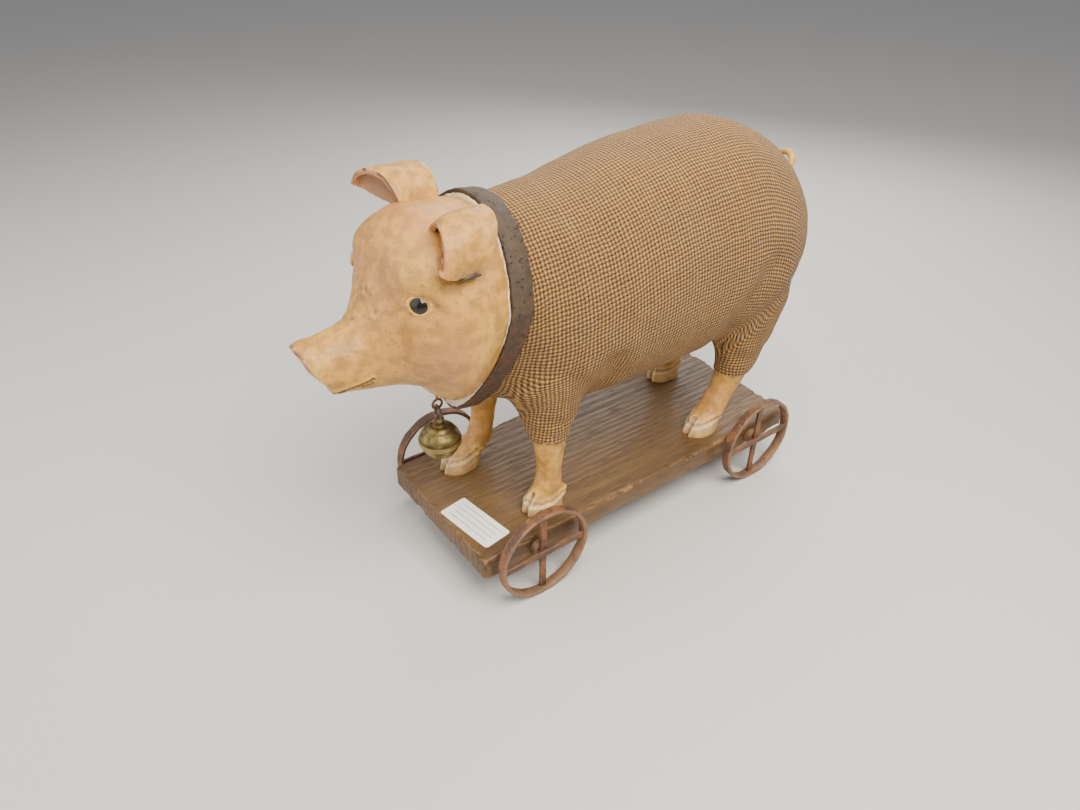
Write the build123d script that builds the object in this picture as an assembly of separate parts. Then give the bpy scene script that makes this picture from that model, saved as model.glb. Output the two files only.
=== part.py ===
from build123d import *

import math
import os
from dataclasses import dataclass

# A cast pig figure in a burlap jacket, standing on a wooden board that rolls on four iron hoop wheels.
# Millimetres. +X is the way the pig faces, +Y is its left side, +Z is up and the floor is z = 0.

# --- Board ---
BOARD_LENGTH = 210.0
BOARD_WIDTH = 86.0
BOARD_THICKNESS = 13.0
BOARD_CHAMFER = 0.8

# --- Wheels and axles ---
WHEEL_DIAMETER = 50.0
RIM_WIDTH = 5.0
RIM_THICKNESS = 2.0
SPOKE_WIDTH = 3.5
SPOKE_THICKNESS = 1.6
AXLE_DIAMETER = 4.0
AXLE_RUNNING_CLEARANCE = 0.06
WHEELBASE = 150.0
RIM_TO_BOARD_GAP = 3.2
SPACER_DIAMETER = 8.0
SPACER_END_PLAY = 0.2
BOARD_ABOVE_AXLE = 6.0

# --- Screws from under the board into the hooves ---
SCREW_SHANK_DIAMETER = 3.0
SCREW_HEAD_DIAMETER = 6.4
SCREW_HEAD_DEPTH = 1.9
SCREW_REACH_INTO_HOOF = 7.0
SCREW_HOLE_CLEARANCE = 0.3
SCREW_TO_AXLE = 6.0

# --- Blank label on the board ---
LABEL_LENGTH = 34.5
LABEL_WIDTH = 15.5
LABEL_THICKNESS = 0.25
LABEL_TURN = 8.0
LABEL_FRONT_MARGIN = 11.0
LABEL_SIDE_OFFSET = 17.8

# --- Figure: torso ---
TORSO_LENGTH = 207.0
TORSO_HEIGHT = 115.0
TORSO_WIDTH = 99.0
TORSO_WALL = 4.0
BELLY_ABOVE_BOARD = 48.8
JACKET_THICKNESS = 1.4

# --- Figure: neck seam, where torso, head and collar meet on one leaning plane ---
NECK_X = 81.0
NECK_ABOVE_BOARD = 107.0
NECK_HEIGHT = 87.0
NECK_WIDTH = 68.0
NECK_LEAN = -0.158
HEAD_RIM_PROUD = 2.5
SEAT_BEHIND_NECK = 14.5
SEAT_DROP = 2.77
SEAT_TALLER = 3.77
SEAT_WIDER = 3.0

# --- Figure: head ---
HEAD_LENGTH = 78.0
HEAD_LESS_TALL_THAN_NECK = 5.0
HEAD_WIDTH = 79.0
HEAD_WALL = 4.0
SNOUT_ALONG = 0.54
EYE_DIAMETER = 7.6
EYE_PROUD = 2.2
EYE_ALONG = 0.474
EYE_RISE = 0.275
EAR_CURL_RADIUS = 14.5
EAR_THICKNESS = 2.6
EAR_LENGTH = 24.0
EAR_ALONG = 0.215
EAR_SIDE = 0.53
EAR_RISE = 0.51
EAR_TIP_DROP = 7.0
EAR_SPLAY = 8.0
RIGHT_EAR_LIFT = 1.5

# --- Figure: legs, sleeves and tail ---
HOOF_LENGTH = 21.0
HOOF_WIDTH = 16.0
FRONT_SLEEVE_HEM = 43.0
HIND_SLEEVE_HEM = 34.0
TAIL_DIAMETER = 5.0
TAIL_CURL_RADIUS = 5.5
TAIL_ALONG = 0.94
TAIL_RISE = 0.70

# --- Collar ---
COLLAR_WIDTH = 10.0
COLLAR_THICKNESS = 2.2
COLLAR_EASE = 2.5

# --- Bell and its hangers ---
BELL_DIAMETER = 19.0
BELL_WALL = 0.8
BELL_FLANGE_PROUD = 0.6
BELL_FLANGE_THICKNESS = 1.2
BELL_SEAM_GAP = 0.1
BELL_SLOT_WIDTH = 1.6
BELL_SLOT_END_DIAMETER = 3.0
PELLET_DIAMETER = 3.6
PELLET_LIFT_CLEARANCE = 0.1
WIRE_DIAMETER = 1.2
WIRE_RING_RADIUS = 2.4
WIRE_PLAY = 0.1
LINK_LENGTH = 7.0
BELL_AHEAD_OF_NECK = 18.8
EYE_RING_BELOW_THROAT = 6.6
EYE_SHANK_LENGTH = 14.0

# --- Places that follow from the sizes ---
AXLE_Z = WHEEL_DIAMETER / 2
BOARD_TOP = AXLE_Z + BOARD_ABOVE_AXLE
BOARD_BOTTOM = BOARD_TOP - BOARD_THICKNESS
WHEEL_Y = BOARD_WIDTH / 2 + RIM_TO_BOARD_GAP + RIM_WIDTH / 2
BELLY_Z = BOARD_TOP + BELLY_ABOVE_BOARD
NECK_Z = BOARD_TOP + NECK_ABOVE_BOARD
HEAD_HEIGHT = NECK_HEIGHT - HEAD_LESS_TALL_THAN_NECK
SIDES = {"left": 1, "right": -1}
ENDS = {"front": 1, "rear": -1}


@dataclass(frozen=True)
class TorsoStation:
    """One upright oval of the torso, as shares of its length, height and half width."""

    along: float
    top: float
    bottom: float
    width: float


@dataclass(frozen=True)
class HeadStation:
    """One oval of the head: place as shares of the head's length and height, and its lean."""

    along: float
    rise: float
    height: float
    width: float
    lean: float


@dataclass(frozen=True)
class LegStation:
    """One level oval of a leg: share of the leg's height, offset from the hoof, and size."""

    up: float
    forward: float
    inward: float
    length: float
    width: float


TORSO_FORM = [
    TorsoStation(0.20, 0.908, 0.006, 0.88),
    TorsoStation(0.38, 0.968, -0.011, 0.985),
    TorsoStation(0.575, 1.0, 0.0, 1.0),
    TorsoStation(0.68, 0.993, 0.030, 0.97),
    TorsoStation(0.778, 0.932, 0.065, 0.91),
    TorsoStation(0.86, 0.841, 0.106, 0.76),
    TorsoStation(0.923, 0.732, 0.167, 0.57),
    TorsoStation(0.966, 0.645, 0.254, 0.375),
    TorsoStation(1.0, 0.541, 0.367, 0.165),
]

HEAD_FORM = [
    HeadStation(0.205, 0.085, 1.0, 1.0, -0.20),
    HeadStation(0.372, 0.138, 0.907, 0.896, -0.05),
    HeadStation(0.474, 0.110, 0.788, 0.760, 0.0),
    HeadStation(0.564, 0.015, 0.559, 0.534, 0.03),
    HeadStation(0.667, -0.057, 0.383, 0.372, 0.10),
    HeadStation(0.821, -0.071, 0.315, 0.304, 0.25),
    HeadStation(0.945, -0.072, 0.290, 0.276, 0.54),
]

# The hooves stand staggered, so each has its own place, as shares of the board's half length and width.
HOOF_SHARES = {
    "front_left_leg": (0.5714, 0.651),
    "front_right_leg": (0.7238, -0.558),
    "hind_left_leg": (-0.4762, 0.651),
    "hind_right_leg": (-0.6857, -0.581),
}
# The legs run up into the torso at these shares of its length, width and height.
LEG_TOP_ALONG = {"front": 0.121, "hind": 0.749}
LEG_TOP_SIDE = 0.485
LEG_TOP_RISE = 0.367
FRONT_LEG_FORM = [
    LegStation(0.0, 0.0, 0.0, 1.0, 1.0),
    LegStation(0.07, 0.1, 0.0, 0.95, 0.95),
    LegStation(0.14, 0.55, 0.0, 0.69, 0.82),
    LegStation(0.29, 0.75, 0.0, 0.59, 0.75),
    LegStation(0.45, 0.80, 0.1, 0.79, 0.95),
    LegStation(0.60, 0.90, 0.5, 1.15, 1.25),
    LegStation(0.78, 1.0, 0.9, 1.62, 1.50),
    LegStation(1.0, 1.0, 1.0, 1.70, 1.25),
]
HIND_LEG_FORM = [
    LegStation(0.0, 0.0, 0.0, 1.0, 1.0),
    LegStation(0.07, 0.10, 0.0, 0.95, 0.95),
    LegStation(0.16, 0.38, 0.0, 0.74, 0.88),
    LegStation(0.30, 0.68, 0.0, 0.81, 0.94),
    LegStation(0.45, 0.90, 0.0, 1.15, 1.15),
    LegStation(0.59, 1.02, 0.3, 1.80, 1.45),
    LegStation(0.78, 1.08, 0.7, 2.42, 1.80),
    LegStation(1.0, 1.05, 1.0, 2.60, 1.75),
]


def leaning_plane(x, z, lean):
    """A plane facing the pig's front, whose up direction goes forward by lean for each unit of height."""
    return Plane(origin=(x, 0, z), x_dir=(0, 1, 0), z_dir=(1, 0, -lean))


def hoof_place(name):
    """Where a hoof's middle stands on the board."""
    along, aside = HOOF_SHARES[name]
    return BOARD_LENGTH / 2 * along, BOARD_WIDTH / 2 * aside


NECK_PLANE = leaning_plane(NECK_X, NECK_Z, NECK_LEAN)


def neck_oval(grow):
    """The neck seam's oval, grown by that much all round."""
    return NECK_PLANE * Ellipse(NECK_WIDTH / 2 + grow, NECK_HEIGHT / 2 + grow)


def torso_form(grow=0.0):
    """The torso as one closed solid, with its surface grown outwards from the neck seam back."""
    stretch = (TORSO_LENGTH + grow) / TORSO_LENGTH
    seat = leaning_plane(NECK_X - SEAT_BEHIND_NECK * stretch, NECK_Z - SEAT_DROP, 0.0)
    seat_oval = Ellipse(NECK_WIDTH / 2 + SEAT_WIDER + grow, NECK_HEIGHT / 2 + SEAT_TALLER + grow)
    ovals = [neck_oval(grow), seat * seat_oval]
    for station in TORSO_FORM:
        x = NECK_X - TORSO_LENGTH * station.along * stretch
        middle = BELLY_Z + TORSO_HEIGHT * (station.top + station.bottom) / 2
        half_height = TORSO_HEIGHT * (station.top - station.bottom) / 2 + grow
        half_width = TORSO_WIDTH * station.width / 2 + grow
        ovals.append(leaning_plane(x, middle, 0.0) * Ellipse(half_width, half_height))
    return loft(ovals)


def head_oval(station, grow):
    """One of the head's ovals."""
    x = NECK_X + HEAD_LENGTH * station.along
    z = NECK_Z + HEAD_HEIGHT * station.rise
    slope = math.hypot(1.0, station.lean)
    half_height = (HEAD_HEIGHT * station.height / 2 + grow) * slope
    return leaning_plane(x, z, station.lean) * Ellipse(HEAD_WIDTH * station.width / 2 + grow, half_height)


def head_form(grow=0.0, stations=HEAD_FORM):
    """The head as one closed solid from the neck seam to the snout."""
    return loft([neck_oval(HEAD_RIM_PROUD + grow)] + [head_oval(station, grow) for station in stations])


def leg_form(name, grow=0.0):
    """One leg as a closed solid from the board up into the torso."""
    end = name.split("_")[0]
    hoof_x, hoof_y = hoof_place(name)
    top_x = NECK_X - TORSO_LENGTH * LEG_TOP_ALONG[end]
    top_y = math.copysign(TORSO_WIDTH / 2 * LEG_TOP_SIDE, hoof_y)
    leg_height = BELLY_ABOVE_BOARD + TORSO_HEIGHT * LEG_TOP_RISE
    ovals = []
    for station in FRONT_LEG_FORM if end == "front" else HIND_LEG_FORM:
        x = hoof_x + (top_x - hoof_x) * station.forward
        y = hoof_y + (top_y - hoof_y) * station.inward
        level = Plane(origin=(x, y, BOARD_TOP + leg_height * station.up))
        ovals.append(level * Ellipse(HOOF_LENGTH / 2 * station.length + grow, HOOF_WIDTH / 2 * station.width + grow))
    return loft(ovals)


def cylinder_y(diameter, length, x=0.0, y=0.0, z=0.0):
    """A cylinder lying along Y, centred on the point."""
    return Pos(x, y, z) * Rot(90, 0, 0) * Cylinder(diameter / 2, length)


def wire_ring(plane):
    """A round ring of wire lying in the plane."""
    return plane * Torus(WIRE_RING_RADIUS, WIRE_DIAMETER / 2)


def screw_x(hoof_x):
    """Where a hoof's screw goes: under its middle, but inwards of the axle's bore where they would meet."""
    axle_x = math.copysign(WHEELBASE / 2, hoof_x)
    if abs(hoof_x - axle_x) < SCREW_TO_AXLE:
        return axle_x - math.copysign(SCREW_TO_AXLE, axle_x)
    return hoof_x


def make_screws():
    """A countersunk screw per hoof, and the holes that the board needs for them."""
    screws, holes = [], []
    length = BOARD_THICKNESS + SCREW_REACH_INTO_HOOF
    for name in HOOF_SHARES:
        hoof_x, hoof_y = hoof_place(name)
        place = Pos(screw_x(hoof_x), hoof_y, BOARD_BOTTOM)
        shank = Cylinder(SCREW_SHANK_DIAMETER / 2, length, align=(Align.CENTER, Align.CENTER, Align.MIN))
        head = Cone(
            SCREW_HEAD_DIAMETER / 2,
            SCREW_SHANK_DIAMETER / 2,
            SCREW_HEAD_DEPTH,
            align=(Align.CENTER, Align.CENTER, Align.MIN),
        )
        hole = Cylinder(
            SCREW_SHANK_DIAMETER / 2 + SCREW_HOLE_CLEARANCE,
            BOARD_THICKNESS,
            align=(Align.CENTER, Align.CENTER, Align.MIN),
        )
        screws.append(place * (shank + head))
        holes.append(place * (hole + head))
    return screws, holes


def make_board(screw_holes):
    """The board, with a bore for each axle and a countersunk hole for each screw."""
    board = Pos(0, 0, BOARD_TOP - BOARD_THICKNESS / 2) * Box(BOARD_LENGTH, BOARD_WIDTH, BOARD_THICKNESS)
    board = chamfer(board.edges(), BOARD_CHAMFER)
    bore_diameter = AXLE_DIAMETER + 2 * AXLE_RUNNING_CLEARANCE
    for end in ENDS.values():
        board -= cylinder_y(bore_diameter, BOARD_WIDTH, end * WHEELBASE / 2, 0, AXLE_Z)
    for hole in screw_holes:
        board -= hole
    return board


def make_wheels():
    """Two axles, and on each axle two hoop wheels with crossed flat spokes and two spacers."""
    pieces = {}
    inner_diameter = WHEEL_DIAMETER - 2 * RIM_THICKNESS
    spacer_start = BOARD_WIDTH / 2 + SPACER_END_PLAY
    axle_end = WHEEL_Y - SPOKE_THICKNESS
    for end_name, end in ENDS.items():
        x = end * WHEELBASE / 2
        pieces[f"{end_name}_axle"] = cylinder_y(AXLE_DIAMETER, 2 * axle_end, x, 0, AXLE_Z)
        for side_name, side in SIDES.items():
            name = f"{end_name}_{side_name}"
            y = side * WHEEL_Y
            bore = cylinder_y(inner_diameter, RIM_WIDTH, x, y, AXLE_Z)
            pieces[f"{name}_rim"] = cylinder_y(WHEEL_DIAMETER, RIM_WIDTH, x, y, AXLE_Z) - bore
            upright = Pos(x, y - side * SPOKE_THICKNESS / 2, AXLE_Z) * Box(
                SPOKE_WIDTH, SPOKE_THICKNESS, inner_diameter
            )
            level = Pos(x, y + side * SPOKE_THICKNESS / 2, AXLE_Z) * Box(
                inner_diameter, SPOKE_THICKNESS, SPOKE_WIDTH
            )
            pieces[f"{name}_upright_spoke"] = upright & bore
            pieces[f"{name}_level_spoke"] = level & bore
            spacer_length = axle_end - spacer_start
            spacer_y = side * (spacer_start + spacer_length / 2)
            spacer = cylinder_y(SPACER_DIAMETER, spacer_length, x, spacer_y, AXLE_Z)
            pieces[f"{name}_spacer"] = spacer - pieces[f"{end_name}_axle"]
    return pieces


def make_label():
    """The blank label, stuck a little askew at the front of the board."""
    x = BOARD_LENGTH / 2 - LABEL_FRONT_MARGIN
    place = Pos(x, LABEL_SIDE_OFFSET, BOARD_TOP + LABEL_THICKNESS / 2) * Rot(0, 0, LABEL_TURN)
    return place * Box(LABEL_WIDTH, LABEL_LENGTH, LABEL_THICKNESS)


def make_body(screws):
    """The hollow torso, the four legs, the burlap jacket and a burlap sleeve on each leg."""
    solid_torso = torso_form()
    grown_torso = torso_form(JACKET_THICKNESS)
    pieces = {"torso": solid_torso - torso_form(-TORSO_WALL)}
    jacket = grown_torso - solid_torso
    room = TORSO_LENGTH + HEAD_LENGTH
    for name in HOOF_SHARES:
        leg = leg_form(name)
        hem = FRONT_SLEEVE_HEM if name.startswith("front") else HIND_SLEEVE_HEM
        above_hem = Pos(0, 0, BOARD_TOP + hem + room / 2) * Box(2 * room, 2 * room, room)
        sleeve = (leg_form(name, JACKET_THICKNESS) & above_hem) - leg - grown_torso
        pieces[name.replace("leg", "sleeve")] = largest(sleeve)
        jacket -= leg
        trimmed = leg - solid_torso
        for screw in screws:
            trimmed -= screw
        pieces[name] = largest(trimmed)
    pieces["burlap_jacket"] = largest(jacket)
    return pieces


def largest(shape):
    """The biggest solid of a shape, without the slivers that a cut can leave beside it."""
    return max(shape.solids(), key=lambda solid: solid.volume)


def head_half_width(x, z):
    """How far the head's side stands from its middle plane, at the nearest oval and that height."""
    station = min(HEAD_FORM, key=lambda s: abs(NECK_X + HEAD_LENGTH * s.along - x))
    rise = (z - NECK_Z - HEAD_HEIGHT * station.rise) / (HEAD_HEIGHT * station.height / 2)
    return HEAD_WIDTH * station.width / 2 * math.sqrt(1 - rise * rise)


def make_ear(side, lift, solid_head):
    """An ear: a leaf-shaped flap that curls over outwards from its root on top of the head."""
    centre_x = NECK_X + HEAD_LENGTH * EAR_ALONG
    centre_y = side * HEAD_WIDTH / 2 * EAR_SIDE
    centre_z = NECK_Z + HEAD_HEIGHT * EAR_RISE + lift
    place = Pos(centre_x, centre_y, centre_z) * Rot(0, 0, -side * EAR_SPLAY)
    curl = Rot(0, 90, 0) * (
        Cylinder(EAR_CURL_RADIUS, 2 * EAR_LENGTH) - Cylinder(EAR_CURL_RADIUS - EAR_THICKNESS, 2 * EAR_LENGTH)
    )
    tall = EAR_CURL_RADIUS + EAR_TIP_DROP
    outline = Pos(0, 0, tall / 2 - EAR_TIP_DROP) * Box(EAR_LENGTH, 3 * EAR_CURL_RADIUS, tall)
    outline = fillet(outline.edges().filter_by(Axis.Y), EAR_LENGTH * 0.3)
    return largest(place * (curl & outline) - solid_head)


def throat_height(x):
    """How high the underside of the head is at x, between the neck rim and the first oval."""
    station = HEAD_FORM[0]
    rim_drop = NECK_HEIGHT / 2 + HEAD_RIM_PROUD
    oval_drop = HEAD_HEIGHT * station.height / 2
    rim_x = NECK_X - NECK_LEAN * rim_drop
    oval_x = NECK_X + HEAD_LENGTH * station.along - station.lean * oval_drop
    rim_z = NECK_Z - rim_drop
    oval_z = NECK_Z + HEAD_HEIGHT * station.rise - oval_drop
    return rim_z + (oval_z - rim_z) * (x - rim_x) / (oval_x - rim_x)


def make_head(solid_head):
    """The hollow head in its skull and snout, with two bead eyes and two ears."""
    cavity = head_form(-HEAD_WALL, HEAD_FORM[:-1])
    head = solid_head - cavity
    pieces = {}
    eye_x = NECK_X + HEAD_LENGTH * EYE_ALONG
    eye_z = NECK_Z + HEAD_HEIGHT * EYE_RISE
    eye_y = head_half_width(eye_x, eye_z) + EYE_PROUD - EYE_DIAMETER / 2
    for side_name, side in SIDES.items():
        eye = Pos(eye_x, side * eye_y, eye_z) * Sphere(EYE_DIAMETER / 2)
        head -= eye
        pieces[f"{side_name}_eye"] = eye
        lift = 0.0 if side > 0 else RIGHT_EAR_LIFT
        pieces[f"{side_name}_ear"] = make_ear(side, lift, solid_head)
    room = 2 * (HEAD_LENGTH + HEAD_HEIGHT)
    ahead = Pos(NECK_X + HEAD_LENGTH * SNOUT_ALONG + room / 2, 0, NECK_Z) * Box(room, room, room)
    pieces["snout"] = largest(head & ahead)
    pieces["head"] = largest(head - ahead)
    return pieces


def make_tail(grown_torso):
    """The short tail, one curl of a round rope of clay that starts on the rump."""
    start = Vector(NECK_X - TORSO_LENGTH * TAIL_ALONG, 0, BELLY_Z + TORSO_HEIGHT * TAIL_RISE)
    curl_plane = Plane(origin=start, x_dir=(0, 1, 0), z_dir=(-0.6, 0, 0.8))
    path = curl_plane * Pos(TAIL_CURL_RADIUS, 0) * Rot(0, 0, 180) * CenterArc((0, 0), TAIL_CURL_RADIUS, 0, 290)
    section = Plane(origin=path @ 0, z_dir=path % 0) * Circle(TAIL_DIAMETER / 2)
    lift = Pos(-0.6 * TAIL_DIAMETER / 2, 0, 0.8 * TAIL_DIAMETER / 2)
    return largest(lift * sweep(section, path=path) - grown_torso)


def make_collar():
    """The collar strap, a flat band that stands round the neck seam."""
    inner = JACKET_THICKNESS + COLLAR_EASE
    outer = inner + COLLAR_THICKNESS
    half = COLLAR_WIDTH / 2
    return extrude(neck_oval(outer), half, both=True) - extrude(neck_oval(inner), COLLAR_WIDTH, both=True)


def make_bell():
    """The bell's two shells, its loop, its pellet, the link that it hangs on and the eye above."""
    wire = WIRE_DIAMETER
    bell_x = NECK_X + BELL_AHEAD_OF_NECK
    eye_z = throat_height(bell_x) - EYE_RING_BELOW_THROAT
    link_top = eye_z - WIRE_RING_RADIUS + wire + WIRE_PLAY
    link_bottom = link_top - LINK_LENGTH
    loop_top = link_bottom + wire + WIRE_PLAY
    loop_z = loop_top - WIRE_RING_RADIUS
    bell_top = loop_z - wire
    radius = BELL_DIAMETER / 2
    bell_z = bell_top - radius
    fore_and_aft = Plane(origin=(bell_x, 0, eye_z), x_dir=(1, 0, 0), z_dir=(0, -1, 0))

    shank = Pos(bell_x, 0, eye_z + WIRE_RING_RADIUS + EYE_SHANK_LENGTH / 2) * Cylinder(wire / 2, EYE_SHANK_LENGTH)
    throat_eye = wire_ring(fore_and_aft) + shank

    across = Plane(origin=(bell_x, 0, link_top - LINK_LENGTH / 2), x_dir=(0, 1, 0), z_dir=(1, 0, 0))
    outline = SlotOverall(LINK_LENGTH, 2 * WIRE_RING_RADIUS, rotation=90).wire()
    path = across * outline
    link = sweep(Plane(origin=path @ 0, z_dir=path % 0) * Circle(wire / 2), path=path)

    loop = wire_ring(Plane(origin=(bell_x, 0, loop_z), x_dir=(1, 0, 0), z_dir=(0, -1, 0)))
    centre = Pos(bell_x, 0, bell_z)
    shell = centre * (Sphere(radius) - Sphere(radius - BELL_WALL))
    half_box = Box(3 * radius, 3 * radius, 2 * radius, align=(Align.CENTER, Align.CENTER, Align.MIN))
    upper_room = centre * Pos(0, 0, BELL_SEAM_GAP / 2) * half_box
    lower_room = centre * Pos(0, 0, -BELL_SEAM_GAP / 2) * Rot(180, 0, 0) * half_box
    flange_outer = Cylinder(radius + BELL_FLANGE_PROUD, 2 * BELL_FLANGE_THICKNESS)
    flange = centre * (flange_outer - Cylinder(radius - BELL_WALL, 2 * BELL_FLANGE_THICKNESS))
    bell = shell + flange
    slot = centre * Pos(0, 0, -radius) * Box(BELL_DIAMETER * 0.62, BELL_SLOT_WIDTH, BELL_DIAMETER * 0.62)
    lower = (bell & lower_room) - slot
    for end in (-1, 1):
        hole = Cylinder(BELL_SLOT_END_DIAMETER / 2, radius)
        lower -= centre * Pos(end * BELL_DIAMETER * 0.31, 0, -radius * 0.9) * hole
    pellet_z = bell_z - radius + BELL_WALL + PELLET_DIAMETER / 2 + PELLET_LIFT_CLEARANCE
    return {
        "throat_eye": throat_eye,
        "bell_link": link,
        "bell_loop": loop,
        "bell_upper_shell": largest((bell & upper_room) - loop),
        "bell_lower_shell": largest(lower),
        "bell_pellet": Pos(bell_x, 0, pellet_z) * Sphere(PELLET_DIAMETER / 2),
    }


def build():
    """Every piece of the object by name, in the board's frame."""
    screws, screw_holes = make_screws()
    solid_head = head_form()
    pieces = {
        "board": make_board(screw_holes),
        "hoof_screws": Part() + screws,
        "label": make_label(),
        **make_wheels(),
        **make_body(screws),
        **make_head(solid_head),
        "tail": make_tail(torso_form(JACKET_THICKNESS)),
        "collar": make_collar(),
        **make_bell(),
    }
    pieces["head"] -= pieces["throat_eye"]
    return pieces


def main():
    """Write each piece to its own file, with the origin under the middle of the whole object."""
    pieces = build()
    boxes = [piece.bounding_box() for piece in pieces.values()]
    middle_x = (min(box.min.X for box in boxes) + max(box.max.X for box in boxes)) / 2
    middle_y = (min(box.min.Y for box in boxes) + max(box.max.Y for box in boxes)) / 2
    floor = min(box.min.Z for box in boxes)
    print(f"origin moved to x {middle_x:.3f}, y {middle_y:.3f}, z {floor:.3f} of the board's frame")
    os.makedirs("parts", exist_ok=True)
    for name, piece in pieces.items():
        export_step(Pos(-middle_x, -middle_y, -floor) * piece, f"parts/{name}.step")


main()
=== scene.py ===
"""A cast pig figure in a burlap jacket, standing on a wheeled wooden board: the dressed model.

Sizes in this file are millimetres in the board's frame: +X is the way the pig faces, +Y is its
left side, +Z is up from the floor, and x and y are zero at the middle of the board. metres() turns
them into the metres of the CAD frame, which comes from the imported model, and to_board() turns them back.
"""

import logging
import math
from collections.abc import Callable, Sequence
from dataclasses import dataclass
from enum import Enum

import bpy
import bmesh
import numpy as np
from mathutils import Matrix, Vector, noise

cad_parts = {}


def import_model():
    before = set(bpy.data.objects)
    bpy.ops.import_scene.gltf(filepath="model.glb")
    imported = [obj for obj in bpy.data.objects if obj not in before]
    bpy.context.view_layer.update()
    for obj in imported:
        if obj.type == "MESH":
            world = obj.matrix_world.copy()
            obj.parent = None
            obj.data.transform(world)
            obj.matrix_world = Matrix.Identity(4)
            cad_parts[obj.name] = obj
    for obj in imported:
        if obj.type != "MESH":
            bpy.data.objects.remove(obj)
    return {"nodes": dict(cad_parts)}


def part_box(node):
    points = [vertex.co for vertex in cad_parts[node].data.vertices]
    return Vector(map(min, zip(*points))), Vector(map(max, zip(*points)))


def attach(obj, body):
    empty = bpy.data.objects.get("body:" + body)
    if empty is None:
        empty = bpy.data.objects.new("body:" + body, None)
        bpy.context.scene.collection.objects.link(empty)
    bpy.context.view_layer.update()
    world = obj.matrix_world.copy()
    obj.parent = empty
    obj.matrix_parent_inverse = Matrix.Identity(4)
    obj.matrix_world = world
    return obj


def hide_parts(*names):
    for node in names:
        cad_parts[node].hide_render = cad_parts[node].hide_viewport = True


LOG = logging.getLogger("pig")
MM = 0.001
BOARD_TOP = 31.0
LEG_HEIGHT = 91.0
HOOF_ACROSS = 8.0
HOOF_ALONG = 10.5
FRONT_HEM = 74.0
HIND_HEM = 65.0
Colour = tuple[float, float, float]
Point = tuple[float, float, float]
Piece = bpy.types.Object
Tree = bpy.types.NodeTree
Node = bpy.types.Node
Socket = bpy.types.NodeSocket
Outputs = bpy.types.NodeOutputs


# ------------------------------------------------------------------ the bench: shared mesh work


class Facing(Enum):
    """Which way a lofted oval faces."""

    FORWARD = "forward"
    UP = "up"


class Side(Enum):
    """The pig's left and right, with the sign of Y on that side."""

    LEFT = 1
    RIGHT = -1

    @property
    def word(self) -> str:
        """The side as it is written in a node's name."""
        return self.name.lower()


@dataclass(frozen=True)
class Ring:
    """One oval of a lofted form: its middle, its two half sizes and how far its top leans forward."""

    x: float
    y: float
    z: float
    across: float
    tall: float
    lean: float = 0.0

    def grown(self, grow: float) -> "Ring":
        """The same oval with both half sizes grown.

        Args:
            grow: Millimetres to add.

        Returns:
            The grown oval.
        """
        return Ring(self.x, self.y, self.z, self.across + grow, self.tall + grow, self.lean)


@dataclass(frozen=True)
class Swell:
    """A soft bump, or a dent where push is negative, pressed into a surface along its normals."""

    at: Point
    reach: Point
    push: float
    both_sides: bool = True


@dataclass(frozen=True)
class Crease:
    """A groove that follows a path, with a low lip along each side."""

    path: tuple[Point, ...]
    width: float
    depth: float
    lip: float = 0.3
    both_sides: bool = True


def release() -> None:
    """Leave edit mode and deselect everything."""
    if bpy.context.object and bpy.context.object.mode != "OBJECT":
        bpy.ops.object.mode_set(mode="OBJECT")
    bpy.ops.object.select_all(action="DESELECT")


def only(piece: Piece) -> None:
    """Make one object the active and only selected one."""
    release()
    piece.select_set(True)
    bpy.context.view_layer.objects.active = piece


def named(name: str) -> Piece:
    """Name the active object and its mesh, and return it."""
    piece = bpy.context.object
    piece.name = name
    piece.data.name = name
    return piece


def metres(x: float, y: float, z: float) -> Vector:
    """A point in the board's millimetres, as metres in the CAD frame."""
    return Vector((x * MM + Bench.board_x, y * MM, z * MM))


class Bench:
    """Where the board's middle is in the CAD frame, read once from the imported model."""

    board_x = 0.0

    @classmethod
    def set_up(cls) -> None:
        """Read the board's middle from its box."""
        low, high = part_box("board")
        cls.board_x = (low[0] + high[0]) / 2


def apply_modifier(piece: Piece, kind: str, **settings: object) -> None:
    """Add a modifier to a piece, set it and apply it.

    Args:
        piece: The object to change.
        kind: The modifier's type, such as BEVEL.
        settings: Its properties by name.
    """
    only(piece)
    modifier = piece.modifiers.new(kind.title(), kind)
    for key, value in settings.items():
        setattr(modifier, key, value)
    bpy.ops.object.modifier_apply(modifier=modifier.name)


def settle(piece: Piece, smooth_angle: float = 40.0) -> Piece:
    """Put a piece's place into its mesh, close its doubles, turn its faces outwards and smooth them.

    Args:
        piece: The finished object.
        smooth_angle: Edges sharper than this many degrees stay sharp.

    Returns:
        The same object.
    """
    only(piece)
    bpy.ops.object.transform_apply(location=True, rotation=True, scale=True)
    bpy.ops.object.mode_set(mode="EDIT")
    bpy.ops.mesh.select_all(action="SELECT")
    bpy.ops.mesh.remove_doubles(threshold=1e-6)
    bpy.ops.mesh.normals_make_consistent(inside=False)
    bpy.ops.object.mode_set(mode="OBJECT")
    bpy.ops.object.shade_smooth_by_angle(angle=math.radians(smooth_angle))
    bpy.ops.object.select_all(action="DESELECT")
    return piece


def join(name: str, pieces: Sequence[Piece]) -> Piece:
    """Join meshes into the first one and name it.

    Args:
        name: The joined object's name.
        pieces: The objects to join.

    Returns:
        The joined object.
    """
    release()
    for piece in pieces:
        piece.select_set(True)
    bpy.context.view_layer.objects.active = pieces[0]
    if len(pieces) > 1:
        bpy.ops.object.join()
    return named(name)


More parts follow.
